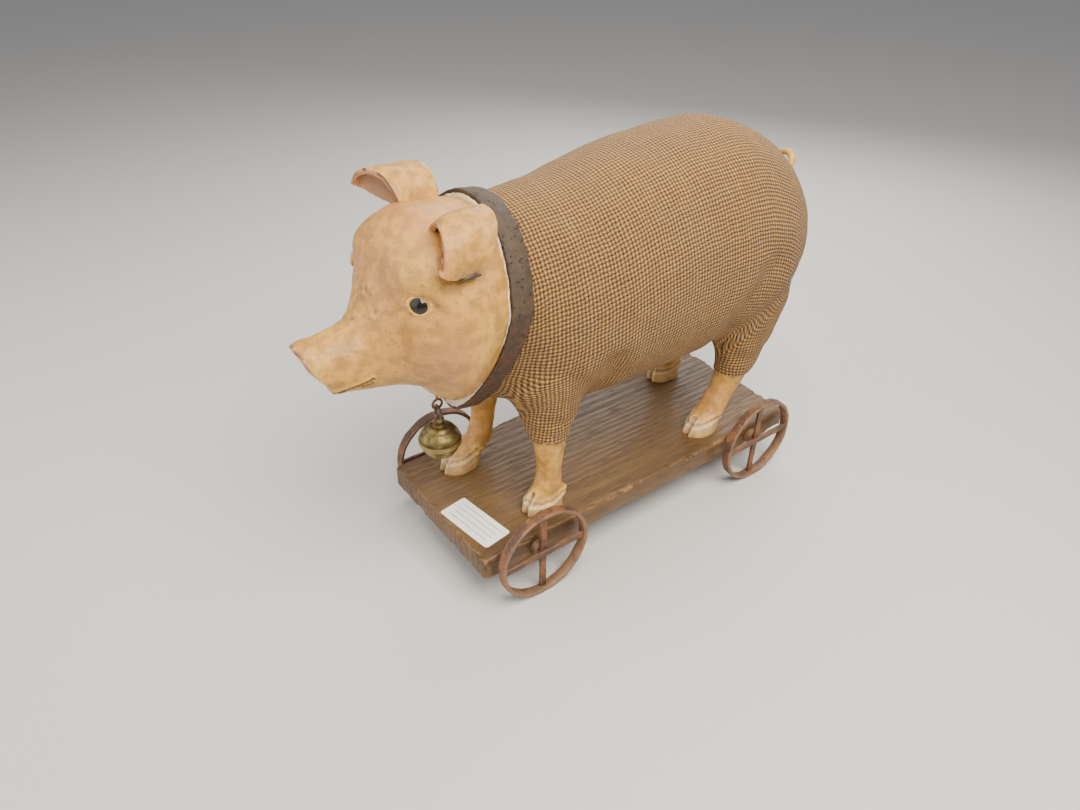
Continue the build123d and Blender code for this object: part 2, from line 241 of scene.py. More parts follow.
def between_rings(rings: Sequence[Ring], count: int) -> list[Ring]:
    """Many ovals on a smooth curve through the given ones.

    Args:
        rings: The ovals that the form passes through.
        count: How many ovals to return.

    Returns:
        The ovals, evenly spaced along the form.
    """
    table = np.array([[r.x, r.y, r.z, r.across, r.tall, r.lean] for r in rings])
    gaps = np.linalg.norm(np.diff(table[:, :5] * [1, 1, 1, 0.6, 0.6], axis=0), axis=1)
    along = np.concatenate([[0.0], np.cumsum(gaps)])
    slope = np.zeros_like(table)
    steps = np.diff(table, axis=0) / gaps[:, None]
    slope[0], slope[-1] = steps[0], steps[-1]
    before, after = gaps[:-1, None], gaps[1:, None]
    slope[1:-1] = (steps[:-1] * after + steps[1:] * before) / (before + after)
    out = []
    for place in np.linspace(0.0, along[-1], count):
        i = min(int(np.searchsorted(along, place, side="right")) - 1, len(gaps) - 1)
        t = (place - along[i]) / gaps[i]
        h = gaps[i]
        row = (
            (2 * t**3 - 3 * t**2 + 1) * table[i]
            + (t**3 - 2 * t**2 + t) * h * slope[i]
            + (3 * t**2 - 2 * t**3) * table[i + 1]
            + (t**3 - t**2) * h * slope[i + 1]
        )
        out.append(Ring(*(float(v) for v in row)))
    return out


def loft(name: str, rings: Sequence[Ring], facing: Facing, segments: int) -> Piece:
    """A closed form, made by extruding a disc from oval to oval and resizing it each time.

    Args:
        name: The object's name.
        rings: The ovals in order.
        facing: Whether the ovals face forward or up.
        segments: Points round each oval.

    Returns:
        The lofted object.
    """
    release()
    first = rings[0]
    turn = (0.0, math.pi / 2, 0.0) if facing is Facing.FORWARD else (0.0, 0.0, 0.0)
    middle = metres(first.x, first.y, first.z)
    bpy.ops.mesh.primitive_circle_add(
        vertices=segments, radius=1.0, fill_type="NGON", location=middle, rotation=turn
    )
    piece = named(name)
    bpy.ops.object.transform_apply(location=True, rotation=True, scale=True)
    bpy.ops.object.mode_set(mode="EDIT")
    bpy.ops.mesh.select_all(action="SELECT")
    size = (1.0, 1.0)
    for i, ring in enumerate(rings):
        here = metres(ring.x, ring.y, ring.z)
        if i:
            bpy.ops.mesh.extrude_region_move(TRANSFORM_OT_translate={"value": here - middle})
        middle = here
        ratio = (ring.across * MM / size[0], ring.tall * MM / size[1])
        size = (ring.across * MM, ring.tall * MM)
        value = (1.0, ratio[0], ratio[1]) if facing is Facing.FORWARD else (ratio[1], ratio[0], 1.0)
        bpy.ops.transform.resize(value=value, center_override=middle)
    bpy.ops.object.mode_set(mode="OBJECT")
    lean_rings(piece, rings, facing, segments)
    return piece


def lean_rings(piece: Piece, rings: Sequence[Ring], facing: Facing, segments: int) -> None:
    """Slide each oval's points along the form in step with their height, so that it leans.

    Args:
        piece: The lofted object, whose points stand ring by ring.
        rings: The ovals in order.
        facing: Whether the ovals face forward or up.
        segments: Points round each oval.
    """
    points = read_points(piece)
    for i, ring in enumerate(rings):
        if ring.lean:
            part = points[i * segments:(i + 1) * segments]
            if facing is Facing.FORWARD:
                part[:, 0] += ring.lean * (part[:, 2] - ring.z * MM)
            else:
                part[:, 2] += ring.lean * (part[:, 0] - metres(ring.x, 0, 0)[0])
    write_points(piece, points)


def read_points(piece: Piece) -> np.ndarray:
    """A mesh's points as an array of metres."""
    points = np.empty(len(piece.data.vertices) * 3)
    piece.data.vertices.foreach_get("co", points)
    return points.reshape(-1, 3)


def write_points(piece: Piece, points: np.ndarray) -> None:
    """Put an array of metres back into a mesh's points."""
    piece.data.vertices.foreach_set("co", points.ravel())
    piece.data.update()


def read_normals(piece: Piece) -> np.ndarray:
    """A mesh's point normals as an array."""
    normals = np.empty(len(piece.data.vertices) * 3)
    piece.data.vertices.foreach_get("normal", normals)
    return normals.reshape(-1, 3)


def to_board(points: np.ndarray) -> np.ndarray:
    """An array of metres in the CAD frame, as the board's millimetres."""
    return (points - [Bench.board_x, 0.0, 0.0]) / MM


def swell_amount(swell: Swell, points: np.ndarray) -> np.ndarray:
    """How far a swell pushes each point, in millimetres."""
    amount = np.zeros(len(points))
    for sign in (1, -1) if swell.both_sides else (1,):
        centre = np.array(swell.at) * [1, sign, 1]
        amount += np.exp(-(((points - centre) / swell.reach) ** 2).sum(1))
    return amount * swell.push


def snapped(path: np.ndarray, points: np.ndarray) -> np.ndarray:
    """A path laid onto a surface: many places along it, each moved to the nearest surface point."""
    steps = np.linspace(0, len(path) - 1, 8 * (len(path) - 1) + 1)
    dense = np.column_stack([np.interp(steps, range(len(path)), path[:, i]) for i in range(3)])
    found = np.array([points[((points - place) ** 2).sum(1).argmin()] for place in dense])
    smooth = found.copy()
    smooth[1:-1] = (found[:-2] + found[1:-1] + found[2:]) / 3
    return smooth


def crease_amount(crease: Crease, points: np.ndarray) -> np.ndarray:
    """How far a crease pushes each point, in millimetres."""
    amount = np.zeros(len(points))
    for sign in (1, -1) if crease.both_sides else (1,):
        path = snapped(np.array(crease.path) * [1, sign, 1], points)
        best = np.full(len(points), np.inf)
        for a, b in zip(path[:-1], path[1:]):
            run = b - a
            t = np.clip((points - a) @ run / max(run @ run, 1e-9), 0, 1)
            best = np.minimum(best, np.linalg.norm(points - a - t[:, None] * run, axis=1))
        groove = np.exp(-((best / crease.width) ** 2))
        lips = np.exp(-(((best - 2 * crease.width) / crease.width) ** 2))
        amount += crease.lip * lips - groove
    return amount * crease.depth


def sculpt(piece: Piece, marks: Sequence[Swell | Crease]) -> None:
    """Press swells and creases into a mesh along its normals.

    Args:
        piece: The object to work.
        marks: What to press, in millimetres of the board's frame.
    """
    points = read_points(piece)
    normals = read_normals(piece)
    board = to_board(points)
    push = np.zeros(len(points))
    for mark in marks:
        amount = swell_amount if isinstance(mark, Swell) else crease_amount
        push += amount(mark, board)
    write_points(piece, points + normals * push[:, None] * MM)


def roughen(piece: Piece, size: float, depth: float, seed: float) -> None:
    """Give a mesh a hand-made unevenness.

    Args:
        piece: The object to work.
        size: The lumps' size in millimetres.
        depth: How far they stand, in millimetres.
        seed: Where the noise is read, so that pieces differ.
    """
    points = read_points(piece)
    normals = read_normals(piece)
    shift = Vector((seed, seed * 0.7, -seed))
    push = np.array([noise.noise(Vector(p) / (size * MM) + shift) for p in points])
    write_points(piece, points + normals * (push * depth * MM)[:, None])


# ------------------------------------------------------------------ the finishes


def node(tree: Tree, kind: str, values: dict | None = None, **settings: object) -> Node:
    """Add a shader node.

    Args:
        tree: The tree to add it to.
        kind: The node's type without the ShaderNode in front.
        values: Input values by name or index, or sockets to link to them.
        settings: The node's own properties.

    Returns:
        The node.
    """
    made = tree.nodes.new("ShaderNode" + kind)
    for key, value in settings.items():
        setattr(made, key, value)
    for key, value in (values or {}).items():
        if isinstance(value, Socket):
            tree.links.new(value, made.inputs[key])
        else:
            made.inputs[key].default_value = value
    return made


def maths(tree: Tree, operation: str, a: object, b: object = 0.0, clamp: bool = False) -> Socket:
    """The result of a Math node on two values or sockets."""
    return node(tree, "Math", {0: a, 1: b}, operation=operation, use_clamp=clamp).outputs[0]


def times(tree: Tree, a: object, b: object, clamp: bool = False) -> Socket:
    """The product of two values or sockets."""
    return maths(tree, "MULTIPLY", a, b, clamp)


def plus(tree: Tree, a: object, b: object, clamp: bool = False) -> Socket:
    """The sum of two values or sockets."""
    return maths(tree, "ADD", a, b, clamp)


def minus(tree: Tree, a: object, b: object, clamp: bool = False) -> Socket:
    """The first value or socket less the second."""
    return maths(tree, "SUBTRACT", a, b, clamp)


def blend(tree: Tree, factor: object, a: object, b: object, mode: str = "MIX") -> Socket:
    """The result of a colour Mix node."""
    made = node(tree, "Mix", data_type="RGBA", blend_type=mode)
    for key, value in ((0, factor), (6, a), (7, b)):
        if isinstance(value, Socket):
            tree.links.new(value, made.inputs[key])
        elif key == 0:
            made.inputs[key].default_value = value
        else:
            made.inputs[key].default_value = (*value, 1.0)
    return made.outputs[2]


def ramp(tree: Tree, value: Socket, low: float, high: float) -> Socket:
    """A value spread smoothly from 0 at low to 1 at high."""
    made = node(
        tree, "MapRange", {0: value, 1: low, 2: high, 3: 0.0, 4: 1.0}, interpolation_type="SMOOTHSTEP"
    )
    return made.outputs[0]


def cloud(tree: Tree, place: Socket, scale: float, detail: float = 4.0, rough: float = 0.55) -> Socket:
    """A noise value at a place."""
    return node(
        tree, "TexNoise", {"Vector": place, "Scale": scale, "Detail": detail, "Roughness": rough}
    ).outputs[0]


class Group:
    """A shader node group that is built once and placed in several materials."""

    name = ""
    inputs: dict[str, float] = {}
    outputs: tuple[str, ...] = ()

    @classmethod
    def tree(cls) -> Tree:
        """The group's node tree, built the first time it is asked for."""
        made = bpy.data.node_groups.get(cls.name)
        if made is None:
            made = bpy.data.node_groups.new(cls.name, "ShaderNodeTree")
            made.interface.new_socket("Place", in_out="INPUT", socket_type="NodeSocketVector")
            for key, value in cls.inputs.items():
                socket = made.interface.new_socket(key, in_out="INPUT", socket_type="NodeSocketFloat")
                socket.default_value = value
            for key in cls.outputs:
                made.interface.new_socket(key, in_out="OUTPUT", socket_type="NodeSocketFloat")
            start = made.nodes.new("NodeGroupInput")
            end = made.nodes.new("NodeGroupOutput")
            for key, socket in cls.wire(made, start.outputs).items():
                made.links.new(socket, end.inputs[key])
        return made

    @classmethod
    def wire(cls, tree: Tree, given: Outputs) -> dict[str, Socket]:
        """Build the group's nodes and return its outputs by name."""
        raise NotImplementedError

    @classmethod
    def place(cls, tree: Tree, place: Socket, **values: float) -> Outputs:
        """Put the group into a material.

        Args:
            tree: The material's tree.
            place: The coordinates that it reads.
            values: Its inputs, with _ for a space in their names.

        Returns:
            The group's outputs.
        """
        made = node(tree, "Group", {}, node_tree=cls.tree())
        tree.links.new(place, made.inputs["Place"])
        for key, value in values.items():
            made.inputs[key.replace("_", " ").capitalize()].default_value = value
        return made.outputs


class Mottle(Group):
    """Cloudy patches, small specks and pits, for paint, rust, leather and wax alike."""

    name = "mottle"
    inputs = {"Patch": 60.0, "Speck": 900.0}
    outputs = ("Patches", "Specks", "Pits", "Fine")

    @classmethod
    def wire(cls, tree: Tree, given: Outputs) -> dict[str, Socket]:
        """Patches from a slow noise, specks from a fast one and pits from a cell pattern."""
        patches = node(tree, "TexNoise", {"Vector": given["Place"], "Scale": given["Patch"], "Detail": 5.0})
        specks = node(tree, "TexNoise", {"Vector": given["Place"], "Scale": given["Speck"], "Detail": 2.0})
        cells = node(tree, "TexVoronoi", {"Vector": given["Place"], "Scale": given["Speck"]})
        fine = node(
            tree,
            "TexNoise",
            {"Vector": given["Place"], "Scale": given["Speck"], "Detail": 8.0, "Roughness": 0.7},
        )
        return {
            "Patches": ramp(tree, patches.outputs[0], 0.38, 0.62),
            "Specks": ramp(tree, specks.outputs[0], 0.60, 0.70),
            "Pits": ramp(tree, cells.outputs["Distance"], 0.30, 0.10),
            "Fine": fine.outputs[0],
        }


class EdgeWear(Group):
    """Where convex edges are rubbed and where the surface is hollow, from the mesh's own pointiness."""

    name = "edge_wear"
    inputs = {"Sharp": 0.54, "Hollow": 0.46}
    outputs = ("Rubbed", "Dirty")

    @classmethod
    def wire(cls, tree: Tree, given: Outputs) -> dict[str, Socket]:
        """Compare pointiness with the two limits, broken up by noise."""
        point = node(tree, "NewGeometry").outputs["Pointiness"]
        broken = cloud(tree, given["Place"], 260.0, 5.0, 0.7)
        jitter = times(tree, minus(tree, broken, 0.5), 0.06)
        value = plus(tree, point, jitter)
        over = minus(tree, value, given["Sharp"])
        under = minus(tree, given["Hollow"], value)
        return {
            "Rubbed": times(tree, over, 30.0, clamp=True),
            "Dirty": times(tree, under, 30.0, clamp=True),
        }


class PlainWeave(Group):
    """A plain weave of round threads, over and under, on the cloth's own UV in metres."""

    name = "plain_weave"
    inputs = {"Pitch": 0.0022, "Thread": 0.80}
    outputs = ("Height", "Gap", "Crown", "Tint", "Fibre")

    @classmethod
    def wire(cls, tree: Tree, given: Outputs) -> dict[str, Socket]:
        """Two sets of threads whose heights rise and fall in turn."""
        wander = node(tree, "TexNoise", {"Vector": given["Place"], "Scale": 95.0, "Detail": 3.0})
        shake = node(
            tree, "VectorMath", {0: wander.outputs["Color"], 1: (0.5, 0.5, 0.5)}, operation="SUBTRACT"
        )
        moved = node(tree, "VectorMath", {0: shake.outputs[0], "Scale": 0.0019}, operation="SCALE")
        place = node(tree, "VectorMath", {0: given["Place"], 1: moved.outputs[0]}, operation="ADD")
        axes = node(tree, "SeparateXYZ", {0: place.outputs[0]})
        threads = []
        for axis, other in ((0, 1), (1, 0)):
            along = maths(tree, "DIVIDE", axes.outputs[other], given["Pitch"])
            across = maths(tree, "DIVIDE", axes.outputs[axis], given["Pitch"])
            number = maths(tree, "FLOOR", across)
            offset = minus(tree, maths(tree, "FRACT", across), 0.5)
            own = node(tree, "TexWhiteNoise", {"W": number}, noise_dimensions="1D").outputs["Value"]
            slub_place = node(
                tree, "CombineXYZ", {0: times(tree, along, 0.35), 1: plus(tree, number, 37.0 * axis)}
            )
            slub = cloud(tree, slub_place.outputs[0], 1.0, 2.0)
            width = times(tree, given["Thread"], plus(tree, times(tree, slub, 0.55), 0.72))
            reach = maths(tree, "DIVIDE", maths(tree, "ABSOLUTE", offset), times(tree, width, 0.5))
            round_top = maths(tree, "SQRT", minus(tree, 1.0, times(tree, reach, reach), clamp=True))
            parity = minus(tree, 1.0, times(tree, maths(tree, "FLOORED_MODULO", number, 2.0), 2.0))
            wave = times(tree, maths(tree, "SINE", times(tree, along, math.pi)), parity)
            if axis:
                wave = times(tree, wave, -1.0)
            lifted = plus(tree, times(tree, wave, 0.42), 0.58)
            threads.append((times(tree, round_top, lifted), own, slub))
        (warp, warp_own, warp_slub), (weft, weft_own, weft_slub) = threads
        height = maths(tree, "MAXIMUM", warp, weft)
        upper = maths(tree, "GREATER_THAN", warp, weft)
        tint = node(tree, "Mix", {0: upper, 2: weft_own, 3: warp_own}).outputs[0]
        slubs = node(tree, "Mix", {0: upper, 2: weft_slub, 3: warp_slub}).outputs[0]
        stretch = node(
            tree, "VectorMath", {0: given["Place"], 1: (2600.0, 2600.0, 1.0)}, operation="MULTIPLY"
        )
        fibre = cloud(tree, stretch.outputs[0], 1.0, 4.0, 0.7)
        # The gap mask is for painted shade between the threads, the crown mask for painted highlight on
        # their tops.
        return {
            "Height": height,
            "Gap": ramp(tree, height, 0.58, 0.20),
            "Crown": ramp(tree, height, 0.72, 0.98),
            "Tint": plus(tree, times(tree, tint, 0.6), times(tree, slubs, 0.4)),
            "Fibre": fibre,
        }


class Grain(Group):
    """Wood grain that runs along X: rings stretched lengthwise, pores and dark streaks."""

    name = "grain"
    inputs = {"Stretch": 0.07}
    outputs = ("Rings", "Pores", "Streaks")

    @classmethod
    def wire(cls, tree: Tree, given: Outputs) -> dict[str, Socket]:
        """Noise on coordinates that are squeezed along the board."""
        squeeze = node(tree, "CombineXYZ", {0: given["Stretch"], 1: 1.0, 2: 1.0})
        place = node(
            tree, "VectorMath", {0: given["Place"], 1: squeeze.outputs[0]}, operation="MULTIPLY"
        ).outputs[0]
        bend = node(tree, "TexNoise", {"Vector": place, "Scale": 22.0, "Detail": 2.0})
        bent = node(tree, "VectorMath", {0: bend.outputs["Color"], "Scale": 0.022}, operation="SCALE")
        moved = node(tree, "VectorMath", {0: place, 1: bent.outputs[0]}, operation="ADD").outputs[0]
        rings = node(
            tree,
            "TexWave",
            {"Vector": moved, "Scale": 75.0, "Distortion": 2.4, "Detail": 3.0, "Detail Scale": 1.4},
            bands_direction="Y",
        )
        pores = cloud(tree, place, 1300.0, 3.0, 0.6)
        streaks = cloud(tree, place, 60.0, 5.0, 0.6)
        return {
            "Rings": rings.outputs["Fac"],
            "Pores": ramp(tree, pores, 0.56, 0.70),
            "Streaks": ramp(tree, streaks, 0.45, 0.68),
        }


@dataclass(frozen=True)
class Finish:
    """A material: its name, its plain colour and its shader's constant values."""

    name: str
    colour: Colour
    rough: float = 0.6
    metal: float = 0.0
    coat: float = 0.0
    sheen: float = 0.0

    def make(self) -> bpy.types.Material:
        """The material, built the first time it is asked for."""
        name = f"{self.name}_finish"
        made = bpy.data.materials.get(name)
        if made is None:
            made = bpy.data.materials.new(name)
            made.use_nodes = True
            tree = made.node_tree
            shader = tree.nodes["Principled BSDF"]
            shader.inputs["Base Color"].default_value = (*self.colour, 1.0)
            shader.inputs["Roughness"].default_value = self.rough
            shader.inputs["Metallic"].default_value = self.metal
            shader.inputs["Coat Weight"].default_value = self.coat
            shader.inputs["Sheen Weight"].default_value = self.sheen
            place = node(tree, "TexCoord").outputs["Object"]
            self.detail(tree, shader, place)
        return made

    def detail(self, tree: Tree, shader: Node, place: Socket) -> None:
        """Wire the finish's own pattern into the shader."""

    @staticmethod
    def bump(tree: Tree, shader: Node, height: Socket, depth: float, strength: float = 1.0) -> None:
        """Feed a height to the shader's normal.

        Args:
            tree: The material's tree.
            shader: The Principled BSDF.
            height: The height from 0 to 1.
            depth: Its depth in millimetres.
            strength: How strongly it shows.
        """
        made = node(tree, "Bump", {"Height": height, "Distance": depth * MM, "Strength": strength})
        tree.links.new(made.outputs[0], shader.inputs["Normal"])


@dataclass(frozen=True)
class BurlapFinish(Finish):
    """Coarse tan burlap: painted highlights on the thread crowns, painted shade in the gaps between
    threads, threads that differ in tint.
    """

    shade: Colour = (0.014, 0.006, 0.002)
    light: Colour = (0.345, 0.172, 0.042)
    crown: Colour = (0.64, 0.365, 0.105)
    pitch: float = 1.75

    def detail(self, tree: Tree, shader: Node, place: Socket) -> None:
        """Colour and bump from the plain weave on the cloth's UV."""
        flat = node(tree, "UVMap", uv_map="cloth").outputs[0]
        weave = PlainWeave.place(tree, flat, pitch=self.pitch * MM)
        mottle = Mottle.place(tree, place, patch=26.0, speck=700.0)
        thread = blend(tree, weave["Tint"], self.colour, self.light)
        patched = blend(tree, times(tree, mottle["Patches"], 0.35), thread, (0.21, 0.115, 0.045))
        fibres = blend(
            tree, times(tree, ramp(tree, weave["Fibre"], 0.45, 0.70), 0.55), patched, (0.085, 0.040, 0.014)
        )
        # Painted highlight on the thread crowns, then painted shade in the gaps between them.
        crowned = blend(tree, times(tree, weave["Crown"], 0.60), fibres, self.crown)
        gapped = blend(tree, times(tree, weave["Gap"], 0.97), crowned, self.shade)
        tree.links.new(gapped, shader.inputs["Base Color"])
        height = plus(tree, weave["Height"], times(tree, weave["Fibre"], 0.18))
        self.bump(tree, shader, height, 1.0)


@dataclass(frozen=True)
class PaintedFinish(Finish):
    """Hand-painted casting: ochre cream with a pink blush, darker brown in the hollows, fine pits."""

    blush: Colour = (0.56, 0.250, 0.055)
    wash: Colour = (0.16, 0.072, 0.024)
    pale: Colour = (0.88, 0.63, 0.18)

    def detail(self, tree: Tree, shader: Node, place: Socket) -> None:
        """Layers of paint, darker brown in the hollows and the pale rub on raised places."""
        mottle = Mottle.place(tree, place, patch=34.0, speck=620.0)
        small = Mottle.place(tree, place, patch=190.0, speck=1500.0)
        wear = EdgeWear.place(tree, place, sharp=0.512, hollow=0.489)
        base = blend(tree, times(tree, mottle["Patches"], 0.75), self.colour, self.blush)
        fine = blend(tree, times(tree, small["Patches"], 0.75), base, (0.33, 0.170, 0.026))
        rubbed = blend(tree, times(tree, wear["Rubbed"], 0.45), fine, self.pale)
        # Darker brown wherever the surface is hollow, going by pointiness.
        washed = blend(tree, times(tree, wear["Dirty"], 0.75), rubbed, self.wash)
        specked = blend(tree, times(tree, mottle["Specks"], 0.40), washed, self.wash)
        marked = node(tree, "Attribute", attribute_name="paint").outputs["Color"]
        lines = node(tree, "SeparateColor", {0: marked})
        # The red channel holds dark lines and painted shade.
        dark = blend(tree, lines.outputs[0], specked, (0.055, 0.026, 0.016))
        pink = blend(tree, times(tree, lines.outputs[1], 0.75), dark, (0.50, 0.205, 0.085))
        white = blend(tree, lines.outputs[2], pink, (0.82, 0.78, 0.69))
        tree.links.new(white, shader.inputs["Base Color"])
        rough = plus(tree, times(tree, small["Fine"], 0.30), 0.30)
        tree.links.new(rough, shader.inputs["Roughness"])
        lumps = times(tree, small["Fine"], 0.55)
        pits = times(tree, mottle["Pits"], -0.30)
        self.bump(tree, shader, plus(tree, lumps, pits), 0.42)


@dataclass(frozen=True)
class WoodFinish(Finish):
    """Old brown wood: grain along the board, waxed and grimy, with paler rubbed edges."""

    dark: Colour = (0.030, 0.013, 0.005)
    rubbed: Colour = (0.30, 0.145, 0.050)

    def detail(self, tree: Tree, shader: Node, place: Socket) -> None:
        """Rings, pores and streaks, then wear on the edges."""
        grain = Grain.place(tree, place)
        mottle = Mottle.place(tree, place, patch=18.0, speck=500.0)
        wear = EdgeWear.place(tree, place, sharp=0.53, hollow=0.47)
        rings = blend(tree, times(tree, grain["Rings"], 0.28), self.colour, (0.085, 0.040, 0.015))
        patches = blend(tree, times(tree, mottle["Patches"], 0.45), rings, (0.180, 0.097, 0.033))
        streaks = blend(tree, times(tree, grain["Streaks"], 0.50), patches, self.dark)
        pores = blend(tree, times(tree, grain["Pores"], 0.55), streaks, self.dark)
        edges = blend(tree, times(tree, wear["Rubbed"], 0.75), pores, self.rubbed)
        tree.links.new(edges, shader.inputs["Base Color"])
        rough = plus(tree, times(tree, grain["Rings"], 0.20), 0.42)
        tree.links.new(rough, shader.inputs["Roughness"])
        height = minus(tree, times(tree, grain["Rings"], 0.4), times(tree, grain["Pores"], 0.7))
        self.bump(tree, shader, plus(tree, height, times(tree, mottle["Fine"], 0.4)), 0.30)


@dataclass(frozen=True)
class RustFinish(Finish):
    """Browned iron: dark scale, warm rust patches and edges rubbed back to a dull shine."""

    rust: Colour = (0.200, 0.078, 0.026)
    bare: Colour = (0.38, 0.235, 0.145)

    def detail(self, tree: Tree, shader: Node, place: Socket) -> None:
        """Rust over iron, with the metal only where the edges are rubbed."""
        mottle = Mottle.place(tree, place, patch=130.0, speck=900.0)
        wear = EdgeWear.place(tree, place, sharp=0.535, hollow=0.46)
        rusty = blend(tree, mottle["Patches"], self.colour, self.rust)
        specked = blend(tree, times(tree, mottle["Specks"], 0.6), rusty, (0.42, 0.19, 0.08))
        rubbed = blend(tree, times(tree, wear["Rubbed"], 0.6), specked, self.bare)
        tree.links.new(rubbed, shader.inputs["Base Color"])
        tree.links.new(times(tree, wear["Rubbed"], 0.55), shader.inputs["Metallic"])
        tree.links.new(plus(tree, times(tree, mottle["Fine"], 0.4), 0.36), shader.inputs["Roughness"])
        self.bump(tree, shader, minus(tree, mottle["Fine"], times(tree, mottle["Pits"], 0.5)), 0.30)


@dataclass(frozen=True)
class LeatherFinish(Finish):
    """Worn dark leather: grey-brown bloom, red-brown towards the bottom, small dark pits all over."""

    red: Colour = (0.115, 0.034, 0.009)
    bloom: Colour = (0.062, 0.036, 0.016)

    def detail(self, tree: Tree, shader: Node, place: Socket) -> None:
        """Grain cells, patches of bloom and red, and rubbed edges."""
        mottle = Mottle.place(tree, place, patch=42.0, speck=520.0)
        fine = Mottle.place(tree, place, patch=210.0, speck=1900.0)
        wear = EdgeWear.place(tree, place, sharp=0.54, hollow=0.45)
        low = ramp(tree, node(tree, "SeparateXYZ", {0: place}).outputs[2], 0.165, 0.110)
        reds = blend(
            tree,
            times(tree, low, plus(tree, times(tree, mottle["Patches"], 0.7), 0.3)),
            self.bloom,
            self.red,
        )
        patched = blend(tree, times(tree, fine["Patches"], 0.55), reds, self.colour)
        pitted = blend(tree, times(tree, mottle["Specks"], 0.8), patched, (0.010, 0.006, 0.004))
        rubbed = blend(tree, times(tree, wear["Rubbed"], 0.45), pitted, (0.33, 0.20, 0.12))
        tree.links.new(rubbed, shader.inputs["Base Color"])
        tree.links.new(plus(tree, times(tree, fine["Fine"], 0.40), 0.38), shader.inputs["Roughness"])
        height = minus(tree, fine["Fine"], times(tree, mottle["Specks"], 0.9))
        self.bump(tree, shader, height, 0.35)


@dataclass(frozen=True)
class BrassFinish(Finish):
    """Aged brass: dull olive tarnish with brighter rubbed rings."""

    tarnish: Colour = (0.045, 0.035, 0.013)

    def detail(self, tree: Tree, shader: Node, place: Socket) -> None:
        """Tarnish patches over brass, less of it on the raised rings."""
        mottle = Mottle.place(tree, place, patch=260.0, speck=1500.0)
        wear = EdgeWear.place(tree, place, sharp=0.52, hollow=0.48)
        amount = minus(
            tree,
            plus(tree, times(tree, mottle["Patches"], 0.50), 0.22),
            times(tree, wear["Rubbed"], 0.6),
            clamp=True,
        )
        dull = maths(tree, "MAXIMUM", amount, wear["Dirty"])
        tree.links.new(blend(tree, dull, self.colour, self.tarnish), shader.inputs["Base Color"])
        tree.links.new(plus(tree, times(tree, dull, 0.30), 0.33), shader.inputs["Roughness"])
        self.bump(tree, shader, mottle["Fine"], 0.10)


@dataclass(frozen=True)
class LabelFinish(Finish):
    """A satin paper label, faintly yellowed."""

    def detail(self, tree: Tree, shader: Node, place: Socket) -> None:
        """A faint unevenness of colour and surface."""
        mottle = Mottle.place(tree, place, patch=90.0, speck=1200.0)
        tree.links.new(
            blend(tree, times(tree, mottle["Patches"], 0.25), self.colour, (0.74, 0.69, 0.57)),
            shader.inputs["Base Color"],
        )
        self.bump(tree, shader, mottle["Fine"], 0.04)


@dataclass(frozen=True)
class BeadFinish(Finish):
    """Glossy black glass for the eyes."""

    def detail(self, tree: Tree, shader: Node, place: Socket) -> None:
        """A brown depth in the black."""
        mottle = Mottle.place(tree, place, patch=240.0, speck=1600.0)
        tree.links.new(
            blend(tree, times(tree, mottle["Patches"], 0.5), self.colour, (0.020, 0.010, 0.005)),
            shader.inputs["Base Color"],
        )


class Finishes:
    """Every finish that the figure has."""

    BURLAP = BurlapFinish("burlap", (0.19, 0.088, 0.022), rough=0.9, sheen=0.05)
    PAINT = PaintedFinish("painted_casting", (0.66, 0.345, 0.048), rough=0.45, coat=0.12)
    CASTING = PaintedFinish("bare_casting", (0.55, 0.45, 0.33), rough=0.7)
    WOOD = WoodFinish("worn_wood", (0.118, 0.061, 0.017), rough=0.5, coat=0.05)
    IRON = RustFinish("rusty_iron", (0.075, 0.036, 0.020), rough=0.6)
    LEATHER = LeatherFinish("worn_leather", (0.030, 0.018, 0.012), rough=0.5)
    BRASS = BrassFinish("aged_brass", (0.34, 0.26, 0.10), rough=0.35, metal=1.0)
    WIRE = RustFinish("dark_wire", (0.075, 0.055, 0.045), rough=0.5, metal=0.6)
    STEEL = RustFinish("dull_steel", (0.42, 0.41, 0.39), rough=0.4, metal=0.9)
    LABEL = LabelFinish("label_paper", (0.87, 0.85, 0.79), rough=0.45)
    INK = LabelFinish("label_rules", (0.25, 0.27, 0.30), rough=0.5)
    BEAD = BeadFinish("eye_bead", (0.006, 0.005, 0.004), rough=0.10)


def dress(piece: Piece, finish: Finish, slot: str, body: str, *nodes: str) -> Piece:
    """Give a piece its finish and say what it rides on and stands for.

    Args:
        piece: The finished mesh.
        finish: Its material.
        slot: The record's material slot; not used.
        body: The CAD body that it moves with.
        nodes: The CAD nodes that it stands for.

    Returns:
        The same object.
    """
    piece.data.materials.clear()
    piece.data.materials.append(finish.make())
    if nodes:
        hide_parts(*nodes)
    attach(piece, body)
    LOG.info("%s: %d faces", piece.name, len(piece.data.polygons))
    return piece


# ------------------------------------------------------------------ shared ways to make a piece


def sheet_mesh(name: str, across: int, along: int, place: Callable[[float, float], Point]) -> Piece:
    """A grid bent into a surface.

    Args:
        name: The object's name.
        across: Grid steps in the first direction.
        along: Grid steps in the second direction.
        place: The board's point for a pair of shares from 0 to 1.

    Returns:
        The bent grid.
    """
    release()
    bpy.ops.mesh.primitive_grid_add(
        x_subdivisions=across, y_subdivisions=along, size=1.0, location=(0, 0, 0)
    )
    piece = named(name)
    flat = read_points(piece) + 0.5
    write_points(piece, np.array([metres(*place(float(u), float(v))) for u, v, _ in flat]))
    return piece


